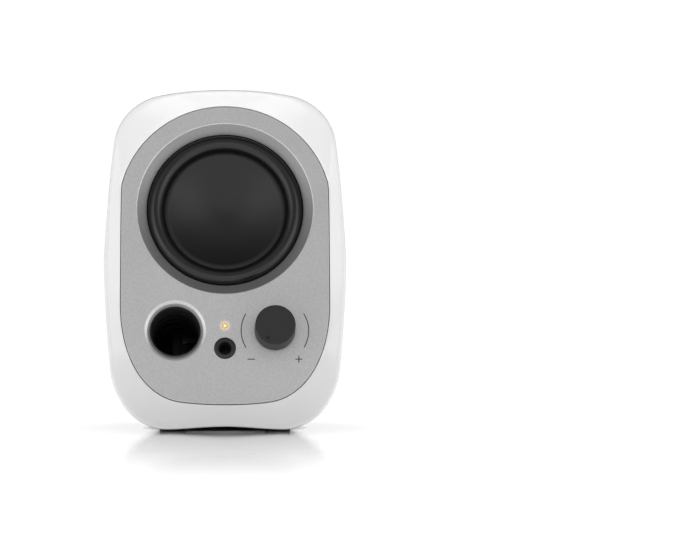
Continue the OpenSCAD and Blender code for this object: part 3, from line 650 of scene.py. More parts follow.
def moulded_grain(g: Graph, start: bpy.types.Node) -> dict:
    """The spark-eroded grain of a moulded plastic.

    Args:
        g: the tree that is drawn in.
        start: the group's input node.

    Returns:
        The socket of each output.
    """
    scale = per_size(g, start)
    pits = g.noise(start.outputs["Vector"], scale, 3, 0.62)
    patch = g.noise(start.outputs["Vector"], g.math("MULTIPLY", scale, 0.06), 2)
    tone = g.math("ADD", g.math("MULTIPLY", pits, 0.5), g.math("MULTIPLY", patch, 0.5))
    return {"Height": pits, "Tone": tone}


def paint_flake(g: Graph, start: bpy.types.Node) -> dict:
    """Bright and dark metal flakes under a satin clear coat.

    Args:
        g: the tree that is drawn in.
        start: the group's input node.

    Returns:
        The socket of each output.
    """
    scale = per_size(g, start)
    cells = g.add("ShaderNodeTexVoronoi", {"Vector": start.outputs["Vector"], "Scale": scale})
    split = g.add("ShaderNodeSeparateColor", {0: cells.outputs["Color"]})
    soft = g.noise(start.outputs["Vector"], g.math("MULTIPLY", scale, 0.8), 3, 0.7)
    tone = g.math("ADD", g.math("MULTIPLY", split.outputs[0], 0.55), g.math("MULTIPLY", soft, 0.45))
    return {"Height": split.outputs[1], "Tone": tone}


def pressed_fibre(g: Graph, start: bpy.types.Node) -> dict:
    """Short fibres pressed into paper or felt.

    Args:
        g: the tree that is drawn in.
        start: the group's input node.

    Returns:
        The socket of each output.
    """
    scale = per_size(g, start)
    one = g.noise(g.stretched(start.outputs["Vector"], (1, 1, 0.2)), scale, 3, 0.6)
    two = g.noise(g.stretched(start.outputs["Vector"], (0.22, 1, 1)), scale, 3, 0.6)
    both = g.math("MAXIMUM", one, two)
    return {"Height": both, "Tone": both}


def crossed_threads(g: Graph, start: bpy.types.Node) -> dict:
    """Warp and weft of a stiff open cloth.

    Args:
        g: the tree that is drawn in.
        start: the group's input node.

    Returns:
        The socket of each output.
    """
    scale = per_size(g, start)
    waves = []
    for direction in ("X", "Z"):
        node = g.add("ShaderNodeTexWave", {"Vector": start.outputs["Vector"], "Distortion": 0.6,
                                           "Scale": g.math("MULTIPLY", scale, 0.16)},
                     bands_direction=direction)
        waves.append(node.outputs["Fac"])
    both = g.math("MAXIMUM", *waves)
    return {"Height": both, "Tone": g.math("POWER", both, 0.6)}


def wound_wire(g: Graph, start: bpy.types.Node) -> dict:
    """Fine turns of wire laid side by side along the coil.

    Args:
        g: the tree that is drawn in.
        start: the group's input node.

    Returns:
        The socket of each output.
    """
    turned_back = g.add("ShaderNodeMapping", {"Vector": start.outputs["Vector"],
                                              "Rotation": (LEAN.angle, 0, 0)})
    wave = g.add("ShaderNodeTexWave", {"Vector": turned_back.outputs[0], "Distortion": 0.15,
                                       "Scale": g.math("MULTIPLY", per_size(g, start), 0.16)},
                 bands_direction="Y")
    return {"Height": wave.outputs["Fac"], "Tone": g.math("POWER", wave.outputs["Fac"], 0.5)}


def drawn_metal(g: Graph, start: bpy.types.Node) -> dict:
    """Fine parallel lines left by drawing or turning, under small stains.

    Args:
        g: the tree that is drawn in.
        start: the group's input node.

    Returns:
        The socket of each output.
    """
    scale = per_size(g, start)
    lines = g.noise(g.stretched(start.outputs["Vector"], (1, 0.05, 1)), scale, 3, 0.7)
    stain = g.noise(start.outputs["Vector"], g.math("MULTIPLY", scale, 0.08), 3, 0.6)
    return {"Height": lines, "Tone": g.math("ADD", g.math("MULTIPLY", lines, 0.4),
                                            g.math("MULTIPLY", stain, 0.6))}


def sintered_grain(g: Graph, start: bpy.types.Node) -> dict:
    """The pressed and fired grain of ferrite or carbon.

    Args:
        g: the tree that is drawn in.
        start: the group's input node.

    Returns:
        The socket of each output.
    """
    scale = per_size(g, start)
    cells = g.add("ShaderNodeTexVoronoi", {"Vector": start.outputs["Vector"], "Scale": scale})
    soft = g.noise(start.outputs["Vector"], g.math("MULTIPLY", scale, 0.3), 4, 0.65)
    return {"Height": cells.outputs["Distance"], "Tone": soft}


def handling(g: Graph, start: bpy.types.Node) -> dict:
    """Where hands and air have left a surface: a smudge mask and dust on what faces up.

    Args:
        g: the tree that is drawn in.
        start: the group's input node.

    Returns:
        The socket of each output.
    """
    scale = per_size(g, start)
    wide = g.noise(start.outputs["Vector"], scale, 3, 0.55)
    fine = g.noise(start.outputs["Vector"], g.math("MULTIPLY", scale, 28), 3, 0.7)
    up = g.add("ShaderNodeSeparateXYZ", {0: g.add("ShaderNodeNewGeometry").outputs["Normal"]}).outputs["Z"]
    facing = g.math("MULTIPLY", up, 1.6)
    specks = g.math("POWER", fine, 3.0)
    return {"Smudge": wide, "Dust": g.math("MULTIPLY", facing, specks, True)}


def build_groups() -> None:
    """Builds every shared effect once."""
    grains = (gloss_ripple, moulded_grain, paint_flake, pressed_fibre, crossed_threads, wound_wire,
              drawn_metal, sintered_grain)
    for grain in grains:
        make_group(grain.__name__, ("Height", "Tone"), grain)
    make_group("handling", ("Smudge", "Dust"), handling)


@dataclass(frozen=True)
class Finish:
    """One finish: its colour, its gloss and the grain that it is seen to have.

    Args:
        colour: base colour, linear.
        rough: roughness of the clean surface.
        metal: how metallic it is.
        grain: the kind of grain.
        size: the grain's size, in mm.
        depth: the grain's depth, in mm.
        tone: how far the grain lightens and darkens the colour.
        smudge: how far handling changes the roughness.
        dust: how much dust shows.
        coat: weight of a clear coat.
        sheen: weight of a soft sheen, as on rubber and cloth.
        specular: the level of plain reflection.
        clear: weight of see-through plastic.
        glow: light that leaves the surface, if any.
    """

    colour: Colour
    rough: float
    metal: float = 0.0
    grain: Grain = Grain.MOULDED
    size: float = 0.5
    depth: float = 0.006
    tone: float = 0.06
    smudge: float = 0.06
    dust: float = 0.0
    coat: float = 0.0
    sheen: float = 0.0
    specular: float = 0.5
    clear: float = 0.0
    glow: "Glow | None" = None

    def material(self, name: str) -> bpy.types.Material:
        """Builds the finish as a material.

        Args:
            name: the material's name.

        Returns:
            The material.
        """
        material = bpy.data.materials.new(name)
        material.use_nodes = True
        g = Graph(material.node_tree)
        where = g.add("ShaderNodeTexCoord").outputs["Object"]
        grain = g.add("ShaderNodeGroup", node_tree=bpy.data.node_groups[self.grain.value])
        handled = g.add("ShaderNodeGroup", node_tree=bpy.data.node_groups["handling"])
        for node, size in ((grain, self.size), (handled, 34.0)):
            g.tree.links.new(where, node.inputs["Vector"])
            node.inputs["Size"].default_value = size
        dark, light = ([max(0.0, min(1.0, c * (1 + k * self.tone))) for c in self.colour] + [1]
                       for k in (-1, 1))
        tone = g.add("ShaderNodeMix", {0: grain.outputs["Tone"]}, data_type="RGBA")
        colour_a, colour_b = (s for s in tone.inputs if s.type == "RGBA")
        colour_a.default_value, colour_b.default_value = dark, light
        colour = next(s for s in tone.outputs if s.type == "RGBA")
        if self.dust:
            veil = g.add("ShaderNodeMix", {0: g.math("MULTIPLY", handled.outputs["Dust"], self.dust)},
                         data_type="RGBA")
            veil_a, veil_b = (s for s in veil.inputs if s.type == "RGBA")
            g.tree.links.new(colour, veil_a)
            veil_b.default_value = (0.42, 0.41, 0.39, 1)
            colour = next(s for s in veil.outputs if s.type == "RGBA")
        span = g.add("ShaderNodeMapRange", {"Value": handled.outputs["Smudge"], "From Min": 0.3,
                                            "From Max": 0.7, "To Min": max(0.02, self.rough - self.smudge),
                                            "To Max": min(1.0, self.rough + self.smudge)})
        bump = g.add("ShaderNodeBump", {"Strength": 1.0, "Distance": self.depth * MM,
                                        "Height": grain.outputs["Height"]})
        shader = g.add("ShaderNodeBsdfPrincipled", {
            "Base Color": colour, "Metallic": self.metal, "Roughness": span.outputs[0],
            "Normal": bump.outputs[0], "Coat Weight": self.coat, "Coat Roughness": 0.06,
            "Sheen Weight": self.sheen, "Specular IOR Level": self.specular,
            "Transmission Weight": self.clear})
        if self.glow:
            self.glow.light_up(g, shader, where)
        out = g.add("ShaderNodeOutputMaterial")
        g.tree.links.new(shader.outputs[0], out.inputs["Surface"])
        return material


@dataclass(frozen=True)
class Glow:
    """Light that leaves a surface round one point: on the light pipe's tip it is that lamp's own light, on the
    silver front it is a painted halo of it.

    Args:
        place: the point, in metres in the row frame.
        reach: how far the light spreads, in mm.
        near: its colour at the point.
        far: its colour at the edge of its reach.
        strength: its strength.
    """

    place: Place
    reach: float
    near: Colour
    far: Colour
    strength: float

    def light_up(self, g: Graph, shader: bpy.types.Node, where: bpy.types.NodeSocket) -> None:
        """Adds the light to a shader.

        Args:
            g: the material's tree.
            shader: the shader that glows.
            where: the surface's own coordinates.
        """
        distance = g.add("ShaderNodeVectorMath", {0: where, 1: self.place}, operation="DISTANCE")
        away = distance.outputs["Value"]
        share = g.math("SUBTRACT", 1.0, g.math("DIVIDE", away, self.reach * MM), True)
        ramp_node = g.add("ShaderNodeValToRGB", {0: g.math("POWER", share, 2.2)})
        ramp_node.color_ramp.elements[0].color = (0, 0, 0, 1)
        ramp_node.color_ramp.elements[1].color = (*self.near, 1)
        middle = ramp_node.color_ramp.elements.new(0.35)
        middle.color = (*self.far, 1)
        g.tree.links.new(ramp_node.outputs[0], shader.inputs["Emission Color"])
        shader.inputs["Emission Strength"].default_value = self.strength


LAMP_PLACE = LEAN.point(0, 2, 44.7)

FINISHES: dict[str, Finish] = {
    "white_gloss": Finish((0.765, 0.765, 0.765), 0.13, grain=Grain.GLOSS, size=11, depth=0.004, tone=0.006,
                          smudge=0.03, coat=0.35, dust=0.01),
    # Painted light: silver_paint glows in a small warm halo round the power light, a painted spill of that lamp on
    # the front.
    "silver_paint": Finish((0.475, 0.475, 0.477), 0.36, metal=0.7, grain=Grain.FLAKE, size=0.34, depth=0.006,
                           tone=0.16, smudge=0.03,
                           glow=Glow(tuple(LAMP_PLACE), 3.4, (1.0, 0.85, 0.58), (0.40, 0.28, 0.15), 1.0)),
    # Painted shade: a deeper silver laid on the funnel round the driver and in a band round the port's mouth,
    # where the front falls into shade.
    "silver_painted_shade": Finish((0.225, 0.225, 0.227), 0.42, metal=0.6, grain=Grain.FLAKE, size=0.34, depth=0.006,
                           tone=0.14, smudge=0.03),
    # Painted shade: a dark colour laid in the grooves of the scale, where shade falls.
    "groove_painted_shade": Finish((0.06, 0.06, 0.062), 0.5, size=0.3, depth=0.002, tone=0.10),
    "black_plastic": Finish((0.014, 0.014, 0.015), 0.46, size=0.35, depth=0.010, tone=0.12, dust=0.10,
                            specular=0.4),
    "jack_black": Finish((0.008, 0.008, 0.0085), 0.34, size=0.4, depth=0.003, tone=0.08, specular=0.4),
    "foot_rubber": Finish((0.018, 0.018, 0.018), 0.72, size=0.5, depth=0.012, tone=0.2, sheen=0.15,
                          dust=0.2),
    "surround_rubber": Finish((0.0030, 0.0030, 0.0033), 0.29, size=0.6, depth=0.003, tone=0.12, smudge=0.05,
                              specular=0.40),
    "gasket_foam": Finish((0.03, 0.03, 0.031), 0.95, grain=Grain.SINTERED, size=0.5, depth=0.10, tone=0.3),
    "spider_cloth": Finish((0.55, 0.34, 0.12), 0.85, grain=Grain.WEAVE, size=0.7, depth=0.12, tone=0.3,
                           sheen=0.2),
    "cone_fibre": Finish((0.0060, 0.0060, 0.0064), 0.42, grain=Grain.FIBRE, size=0.9, depth=0.006, tone=0.14,
                         smudge=0.04, specular=0.32),
    "former_paper": Finish((0.50, 0.36, 0.20), 0.75, grain=Grain.FIBRE, size=0.8, depth=0.02, tone=0.15),
    "copper_wire": Finish((0.72, 0.28, 0.12), 0.28, metal=1.0, grain=Grain.WOUND, size=0.3, depth=0.05,
                          tone=0.25),
    "basket_steel": Finish((0.10, 0.10, 0.105), 0.42, metal=0.5, size=0.5, depth=0.008, tone=0.1),
    "zinc_steel": Finish((0.62, 0.61, 0.56), 0.32, metal=1.0, grain=Grain.BRUSHED, size=0.5, depth=0.004,
                         tone=0.12),
    "screw_steel": Finish((0.42, 0.42, 0.43), 0.30, metal=1.0, grain=Grain.BRUSHED, size=0.3, depth=0.003,
                          tone=0.14, smudge=0.1),
    "ferrite": Finish((0.045, 0.044, 0.044), 0.62, grain=Grain.SINTERED, size=0.5, depth=0.03, tone=0.3),
    "knob_plastic": Finish((0.010, 0.010, 0.0104), 0.50, size=0.30, depth=0.010, tone=0.10, smudge=0.04,
                           specular=0.36),
    "pot_metal": Finish((0.58, 0.58, 0.57), 0.30, metal=1.0, grain=Grain.BRUSHED, size=0.5, depth=0.004),
    "carbon_track": Finish((0.02, 0.02, 0.02), 0.5, grain=Grain.SINTERED, size=0.3, depth=0.01, tone=0.2),
    "wiper_brass": Finish((0.75, 0.52, 0.20), 0.30, metal=1.0, grain=Grain.BRUSHED, size=0.4, depth=0.003),
    # Painted shade: the circuit board is made near-black so that it reads dark through the port.
    "circuit_board": Finish((0.003, 0.008, 0.005), 0.35, grain=Grain.WEAVE, size=1.1, depth=0.01, tone=0.3,
                            coat=0.3),
    "clear_plastic": Finish((0.60, 0.34, 0.12), 0.12, grain=Grain.GLOSS, size=3, depth=0.003, tone=0.01,
                            glow=Glow(tuple(LAMP_PLACE), 1.15, (1.0, 0.93, 0.74), (0.85, 0.46, 0.12), 1.35)),
    "led_body": Finish((0.85, 0.45, 0.08), 0.2, grain=Grain.GLOSS, size=3, depth=0.003, tone=0.05,
                       clear=0.4),
    "capacitor_sleeve": Finish((0.02, 0.03, 0.10), 0.35, size=0.4, depth=0.004, coat=0.2),
    "coil_ferrite": Finish((0.06, 0.06, 0.062), 0.6, grain=Grain.SINTERED, size=0.4, depth=0.02, tone=0.25),
    "socket_metal": Finish((0.68, 0.68, 0.67), 0.26, metal=1.0, grain=Grain.BRUSHED, size=0.4, depth=0.003,
                           tone=0.10),
    "jack_green": Finish((0.10, 0.42, 0.16), 0.38, size=0.4, depth=0.005, tone=0.06),
    "phono_metal": Finish((0.66, 0.65, 0.62), 0.24, metal=1.0, grain=Grain.BRUSHED, size=0.35, depth=0.003,
                          tone=0.10),
    "wire_pvc": Finish((0.50, 0.03, 0.025), 0.40, size=0.5, depth=0.004),
    "ribbon_pvc": Finish((0.42, 0.43, 0.44), 0.45, size=0.6, depth=0.006),
    "plug_nylon": Finish((0.82, 0.80, 0.74), 0.5, size=0.6, depth=0.006, tone=0.03),
}


class Paint:
    """The materials of this speaker, each built once from its finish."""

    _made: dict[str, bpy.types.Material] = {}

    @classmethod
    def of(cls, slot: str) -> bpy.types.Material:
        """The material of a slot.

        Args:
            slot: the record's material slot.

        Returns:
            The material.
        """
        if slot not in cls._made:
            cls._made[slot] = FINISHES[slot].material(slot)
        return cls._made[slot]


def dress(part: bpy.types.Object, slot: str, body: str, nodes: Sequence[str] = ()) -> bpy.types.Object:
    """Gives a finished piece the material of its slot, hangs it on its body and hides the nodes that it stands
    for.

    Args:
        part: the piece, in its place.
        slot: the record's material slot.
        body: the body that it rides on.
        nodes: the nodes that it replaces.

    Returns:
        The piece.
    """
    part.data.materials.clear()
    part.data.materials.append(Paint.of(slot))
    if body:
        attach(part, body)
    if nodes:
        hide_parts(*nodes)
    LOG.info("%s: %d faces, %s", part.name, len(part.data.polygons), slot)
    return part


# ---------------------------------------------------------------- cabinet


@dataclass
class Cabinet:
    """The white cabinet: a rear shell, a dished front bezel and four feet."""

    half_w: float = 51.3
    front_h: float = 148.6
    depth: float = 87.2
    slope: float = math.tan(math.radians(11.5))
    waist: float = front_h * 0.503
    wall: float = 2.5
    sole_arch: float = 1.2
    rim_d: float = 2.2
    rim_round: float = 1.0
    skirt: float = 2.75
    baffle_face: float = 4.2
    seam: float = 0.14
    crease_w: float = 0.5
    crease_cut: float = 0.35
    crease_l: float = 72.0
    rings: int = 40
    fall_time: float = 0.12
    heart: float = 0.45
    recess: float = 9.0

    def rim_half(self) -> list[Flat]:
        """The right half of the rim, from the top middle to the bottom middle.

        Returns:
            The points.
        """
        w, h, m = self.half_w, self.front_h, self.waist
        return [
            *bezier([(0, h), (10, h), (w - 31.6, h - 0.7), (w - 22.5, h - 2.8)], 3 * FINE),
            *bezier([(w - 22.5, h - 2.8), (w - 12.7, h - 5), (w - 4.95, h - 13.4), (w - 3.75, h - 23.6)],
                    7 * FINE),
            *bezier([(w - 3.75, h - 23.6), (w - 1.8, h - 40), (w - 0.8, m + 17), (w, m)], 4 * FINE),
            *bezier([(w, m), (w, m - 15), (w - 1.6, 42), (w - 3.05, 25.6)], 4 * FINE),
            *bezier([(w - 3.05, 25.6), (w - 4.2, 12.6), (w - 13.6, 0), (w - 27.1, 0)], 7 * FINE),
            *bezier([(w - 27.1, 0), (w - 34, 0), (8, self.sole_arch), (0, self.sole_arch)], 3 * FINE),
            (0, self.sole_arch)]

    @staticmethod
    def flat_share(x: float, start: float, p: float, q: float) -> float:
        """How much of its size a side keeps at a share x of the depth."""
        return (1 - max(0.0, (x - start) / (1 - start)) ** p) ** (1 / q)

    def section(self, d: float, inward: float = 0.0, depth: float | None = None) -> list[Flat]:
        """The outline of the cabinet at a depth.

        Args:
            d: the depth.
            inward: how far inside the skin the outline lies.
            depth: the depth at which the outline closes, or the cabinet's own.

        Returns:
            The closed outline.
        """
        depth = depth or self.depth
        x = min(1.0, d / depth)
        wide = max(0.6, self.half_w * self.flat_share(x, 0.46, 3, 2.5) - inward)
        up = max(0.6, (self.front_h - self.waist) * self.flat_share(x, 0, 4.5, 2.25) - inward)
        sole = (self.waist - x * depth * self.slope) * self.flat_share(x, 0.36, 10, 3.2)
        down = max(0.6, sole - inward)
        half = []
        for u, v in self.rim_half():
            rises = v >= self.waist
            span = self.front_h - self.waist if rises else self.waist
            reach = abs(v - self.waist) / span
            across = u / self.half_w
            share = 0.85 * ramp((x - 0.35) / 0.65) if rises else 0.85 * ramp((x - 0.62) / 0.38)
            size = math.hypot(across, reach)
            grown = (1 - share) + share / size
            half.append((wide * across * grown, self.waist + (up if rises else -down) * reach * grown))
        return both_sides(half)

    def ring_depth(self, k: int, start: float, depth: float) -> float:
        """The depth of ring k of the shell, closer together towards the back."""
        return start + (depth - start) * (1 - (1 - 0.965 * k / self.rings) ** 2.3)

    def crease_tool(self) -> bpy.types.Object:
        """The cutter of the fine groove along each side, which follows the skin and runs out to nothing.

        Returns:
            The cutter.
        """
        v, half = self.waist + 0.6, self.crease_w / 2
        bars = []
        for side in (-1, 1):
            rings = []
            for i in range(25):
                d = -1 + (self.crease_l + 1) * i / 24
                skin = max(u for u, _ in self.section(max(0.0, d)))
                cut = self.crease_cut * min(1.0, (self.crease_l - d) / 8)
                low, high = side * (skin - cut), side * (skin + 1)
                rings.append(at_depth([(low, v - half * 0.4), (high, v - half), (high, v + half),
                                       (low, v + half * 0.4)], d))
            bars.append(skinned("crease", rings, Ends.FLAT, Ends.FLAT))
        return joined(*bars)

    def shell(self) -> bpy.types.Object:
        """The glossy rear shell, with the seat of the rear panel and the pockets of the feet.

        Returns:
            The shell.
        """
        outer = [at_depth(self.section(self.rim_d, self.seam), self.rim_d),
                 at_depth(self.section(self.rim_d + self.seam), self.rim_d + self.seam)]
        for k in range(2, self.rings + 1):
            d = self.ring_depth(k, self.rim_d, self.depth)
            outer.append(at_depth(self.section(d), d))
        inner_depth = self.depth - self.wall
        inner = []
        for k in range(0, self.rings + 1, 2):
            d = self.ring_depth(k, self.rim_d, inner_depth)
            inner.append(at_depth(self.section(d, self.wall, inner_depth), d))
        part = skinned("rear_shell_skin", [*reversed(outer), *inner], Ends.POINT, Ends.POINT)
        back = Back()
        work(part, back.seat_block(), Cut.TOGETHER)
        work(part, back.seat_recess())
        work(part, back.seat_window())
        work(part, self.crease_tool())
        lean_back(part)
        for node in ("front_feet", "rear_feet"):
            for middle, radius, height in self.foot_places(node):
                pick()
                bpy.ops.mesh.primitive_cylinder_add(vertices=64, radius=radius + 0.1 * MM, depth=2 * height,
                                                    location=(middle.x, middle.y, 0))
                work(part, named("pocket"))
        shade(part, 30, weighted=True)
        dress(part, "white_gloss", "cabinet", ["rear_shell"])
        self.paint_shade_inside(part)
        return part

    def paint_shade_inside(self, part: bpy.types.Object) -> None:
        """Paints the inside of the shell in the dark plastic, as painted shade, so that what is seen through the
        port is dark.

        Args:
            part: the finished shell.
        """
        # Painted shade: the inner faces take the dark plastic, so the shell's inside reads dark through the port.
        part.data.materials.append(Paint.of("black_plastic"))
        heart = self.depth * self.heart
        middle = LEAN.point(0, heart, self.waist)
        for face in part.data.polygons:
            away = face.center - middle
            depth = heart - away.dot(OUTWARD) / MM
            wall_of_recess = depth > self.depth - self.recess and abs(face.normal.dot(OUTWARD)) < 0.5
            if face.normal.dot(away) < 0 and not wall_of_recess:
                face.material_index = 1

    def bezel(self, hole: Sequence[Flat], face: float) -> bpy.types.Object:
        """The front bezel: a rounded rim, then a dish that falls to the silver front.

        Args:
            hole: the outline of the hole that the silver front sits in.
            face: depth of the silver front's face.

        Returns:
            The bezel.
        """
        steps = 6
        rings = []
        for i in range(steps + 1):
            a = math.pi / 2 * i / steps
            d = self.rim_round * (1 - math.cos(a))
            rings.append(at_depth(self.section(d, self.rim_round * (1 - math.sin(a))), d))
        rings += [at_depth(self.section(self.rim_d - self.seam), self.rim_d - self.seam),
                  at_depth(self.section(self.rim_d, self.seam), self.rim_d),
                  at_depth(self.section(self.rim_d, self.skirt), self.rim_d),
                  at_depth(self.section(self.baffle_face, self.skirt), self.baffle_face),
                  at_depth(hole, self.baffle_face)]
        lip = 0.35
        for i in range(5):
            a = math.pi / 2 * i / 4
            d = face - 0.05 + lip * (1 - math.sin(a))
            rings.append(at_depth(inset(hole, -lip * (1 - math.cos(a))), d))
        crest = self.section(0, self.rim_round)
        grown = inset(hole, -lip)
        dish = 14
        for i in range(1, dish):
            share = 1 - i / dish
            fall = 0.97 * share * (1 - math.exp(-share / self.fall_time))
            rings.append(at_depth(blended(crest, grown, share), (face - 0.05) * fall))
        part = skinned("front_bezel_dish", rings, Ends.OPEN, Ends.JOINED)
        work(part, self.crease_tool())
        shade(part, 32, weighted=True)
        lean_back(part)
        return dress(part, "white_gloss", "cabinet", ["front_bezel"])

    @staticmethod
    def foot_places(node: str) -> list[tuple[Vector, float, float]]:
        """Middle, radius and height of each foot of a node, in metres.

        Args:
            node: the CAD node of two feet.

        Returns:
            Middle, radius and height of each foot, in metres.
        """
        low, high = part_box(node)
        radius = (high.y - low.y) / 2
        return [(Vector((side * (high.x - radius), (low.y + high.y) / 2, 0)), radius, high.z)
                for side in (-1, 1)]

    def feet(self) -> list[bpy.types.Object]:
        """The four rubber feet, each a disc with a rounded tread.

        Returns:
            The feet.
        """
        made = []
        for node in ("front_feet", "rear_feet"):
            for index, (middle, radius, height) in enumerate(self.foot_places(node)):
                pick()
                bpy.ops.mesh.primitive_cylinder_add(vertices=72, radius=radius, depth=height,
                                                    location=(middle.x, middle.y, height / 2))
                foot = named(f"{node}_{'left' if index == 0 else 'right'}")
                bpy.ops.object.mode_set(mode="EDIT")
                mesh = bmesh.from_edit_mesh(foot.data)
                for face in mesh.faces:
                    face.select_set(face.normal.z < -0.9)
                bmesh.update_edit_mesh(foot.data)
                bpy.ops.mesh.bevel(offset=0.3 * MM, segments=3)
                bpy.ops.object.mode_set(mode="OBJECT")
                shade(foot, 40)
                made.append(dress(foot, "foot_rubber", "cabinet", [node]))
        return made


# ---------------------------------------------------------------- front


@dataclass
class Front:
    """The silver front: funnel round the driver, flare of the port, and the scale round the knob."""

    cabinet: Cabinet = field(default_factory=Cabinet)
    face: float = 2.0
    thick: float = 2.0
    gap: float = 0.25
    driver_v: float = 96.2
    driver_drop: float = 52.4
    top_margin: float = 7.2
    side_margin: float = 7.2
    low_margin: float = 11.0
    funnel_r: float = 37.7
    lip_r: float = 33.5
    lip_d: float = 5.0
    port: Flat = (-21.0, 42.6)
    port_r: float = 10.0
    flare: float = 3.2
    flare_start: float = 60.0
    port_shade_black: float = 0.8
    port_shade_grey: float = 1.7
    port_wall: float = 1.6
    knob: Flat = (21.0, 42.6)
    nut_r: float = 5.9
    dial_r: float = 14.2
    dial_line: float = 0.42
    dial_cut: float = 0.45
    mark: float = 3.0
    mark_drop: float = 12.3
    mark_reach: float = 10.0
    phones: Flat = (0.0, 35.0)
    phones_r: float = 4.5
    lamp: Flat = (0.0, 44.7)
    lamp_r: float = 1.15

    def outline(self) -> list[Flat]:
        """The closed outline: a round top about the driver, straight sides and a rounded chin.

        Returns:
            The points.
        """
        w, low = self.cabinet.half_w - self.side_margin, self.low_margin
        r = self.driver_drop - self.top_margin
        kink = math.degrees(math.acos((w - 0.3) / r))
        kink_v = self.driver_v + r * math.sin(math.radians(kink))
        half = [*arc((0, self.driver_v), r, 90, kink, 10 * FINE)[:-1],
                *bezier([(w - 0.3, kink_v), (w + 0.3, kink_v - 2.4), (w + 0.1, 88), (w, 54)], 4 * FINE),
                *bezier([(w, 54), (w - 0.4, low + 17.5), (w - 12, low + 3.2), (w - 25, low + 1.2)],
                        11 * FINE),
                *bezier([(w - 25, low + 1.2), (w - 31, low + 0.3), (7, low), (0, low)], 3 * FINE),
                (0, low)]
        return both_sides(half)

    def engraving(self) -> list[bpy.types.Object]:
        """The cutters of the two arcs of the scale and of its minus and plus marks.

        Returns:
            The cutters.
        """
        d = (self.face - 0.5, self.face + self.dial_cut)
        middle_d, deep = (d[0] + d[1]) / 2, d[1] - d[0]
        u, v = self.knob
        tools = [spun_bar("scale", self.knob, self.dial_r, (self.dial_line, 30), d, (a - 31, a + 31))
                 for a in (0, 180)]
        for side in (-1, 1):
            place = (u + side * self.mark_reach, middle_d, v - self.mark_drop)
            tools.append(block("mark", place, (self.mark, deep, self.dial_line)))
        place = (u + self.mark_reach, middle_d, v - self.mark_drop)
        tools.append(block("mark", place, (self.dial_line, deep, self.mark)))
        return tools

    def plate(self) -> bpy.types.Object:
        """The whole silver front, as one moulding.

        Returns:
            The front.
        """
        outline, face = self.outline(), self.face
        edge = [(0.30, face), (0.09, face + 0.09), (0.0, face + 0.3), (0.0, face + self.thick)]
        part = skinned("fascia_plate", [at_depth(inset(outline, i), d) for i, d in edge],
                       Ends.FLAT, Ends.FLAT)
        middle = (0.0, self.driver_v)
        back = self.lip_d
        work(part, turned("collar", [(self.lip_r + 2.3, face + 0.6), (self.lip_r + 2.3, back)], middle,
                          count=128, last=Ends.FLAT, first=Ends.FLAT), Cut.TOGETHER)
        work(part, turned("sleeve", [(self.port_r + self.port_wall, face + 0.6),
                                     (self.port_r + self.port_wall, face + self.flare + 1.1)], self.port,
                          count=96, last=Ends.FLAT, first=Ends.FLAT), Cut.TOGETHER)
        funnel = [(self.funnel_r + 0.75, face - 0.4), (self.funnel_r + 0.35, face - 0.05),
                  (self.funnel_r + 0.05, face + 0.03), (self.funnel_r - 0.2, face + 0.16),
                  (self.lip_r + 0.25, back - 0.2), (self.lip_r, back), (self.lip_r - 0.2, back + 1)]
        work(part, turned("funnel", funnel, middle, count=160, last=Ends.FLAT, first=Ends.FLAT))
        mouth_r = self.port_r + self.flare
        lips = [(mouth_r + 0.5, face - 0.8), (mouth_r, face - 0.006)]
        start = math.radians(self.flare_start)
        for i in range(1, 16):
            a = start * (1 - i / 15)
            inward = (math.cos(a) - math.cos(start)) / (1 - math.cos(start))
            lips.append((mouth_r - self.flare * inward,
                         face + self.flare * (1 - math.sin(a) / math.sin(start))))
        lips.append((self.port_r, face + self.flare + 2))
        work(part, turned("flare", lips, self.port, count=120, last=Ends.FLAT, first=Ends.FLAT))
        holes = ((self.knob, self.nut_r), (self.phones, self.phones_r), (self.lamp, self.lamp_r))
        for place, radius in holes:
            profile = [(radius + 0.5, face - 0.35), (radius, face + 0.15), (radius, 10)]
            work(part, turned("hole", profile, place, count=64, last=Ends.FLAT, first=Ends.FLAT))
        for tool in self.engraving():
            work(part, tool)
        shade(part, 24, weighted=True)
        painted_shades = self.painted_shades(part)
        lean_back(part)
        dress(part, "silver_paint", "cabinet", ["fascia"])
        # Painted shade on the plate: deeper grey on the funnel and round the port's mouth, dark in the scale's
        # grooves, black deep in the port.
        for slot in ("silver_painted_shade", "groove_painted_shade", "black_plastic"):
            part.data.materials.append(Paint.of(slot))
        part.data.polygons.foreach_set("material_index", painted_shades)
        return part

    def painted_shades(self, part: bpy.types.Object) -> list[int]:
        """Picks the painted shade of each face: a deeper grey on the funnel and round the port's mouth, black deep
        in the port and a dark line in the grooves of the scale.

        Args:
            part: the upright plate, before it is leaned back.

        Returns:
            The material number of each face.
        """
        chosen = []
        for face in part.data.polygons:
            u, d, v = (x / MM for x in face.center)
            from_driver = math.hypot(u, v - self.driver_v)
            from_port = math.hypot(u - self.port[0], v - self.port[1])
            from_knob = math.hypot(u - self.knob[0], v - self.knob[1])
            in_groove = self.face + 0.2 < d < self.face + self.dial_cut + 0.1
            # Painted shade: each band below is darkened where the front falls into shade.
            if from_driver < self.funnel_r - 0.1:
                chosen.append(1)
            # Painted shade: black laid deep in the port's flare, where the tube falls into shade.
            elif from_port < self.port_r + self.port_shade_black:
                chosen.append(3)
            elif from_port < self.port_r + self.port_shade_grey:
                chosen.append(1)
            elif in_groove and self.nut_r + 2 < from_knob < self.mark_drop + self.mark_reach:
                chosen.append(2)
            else:
                chosen.append(0)
        return chosen


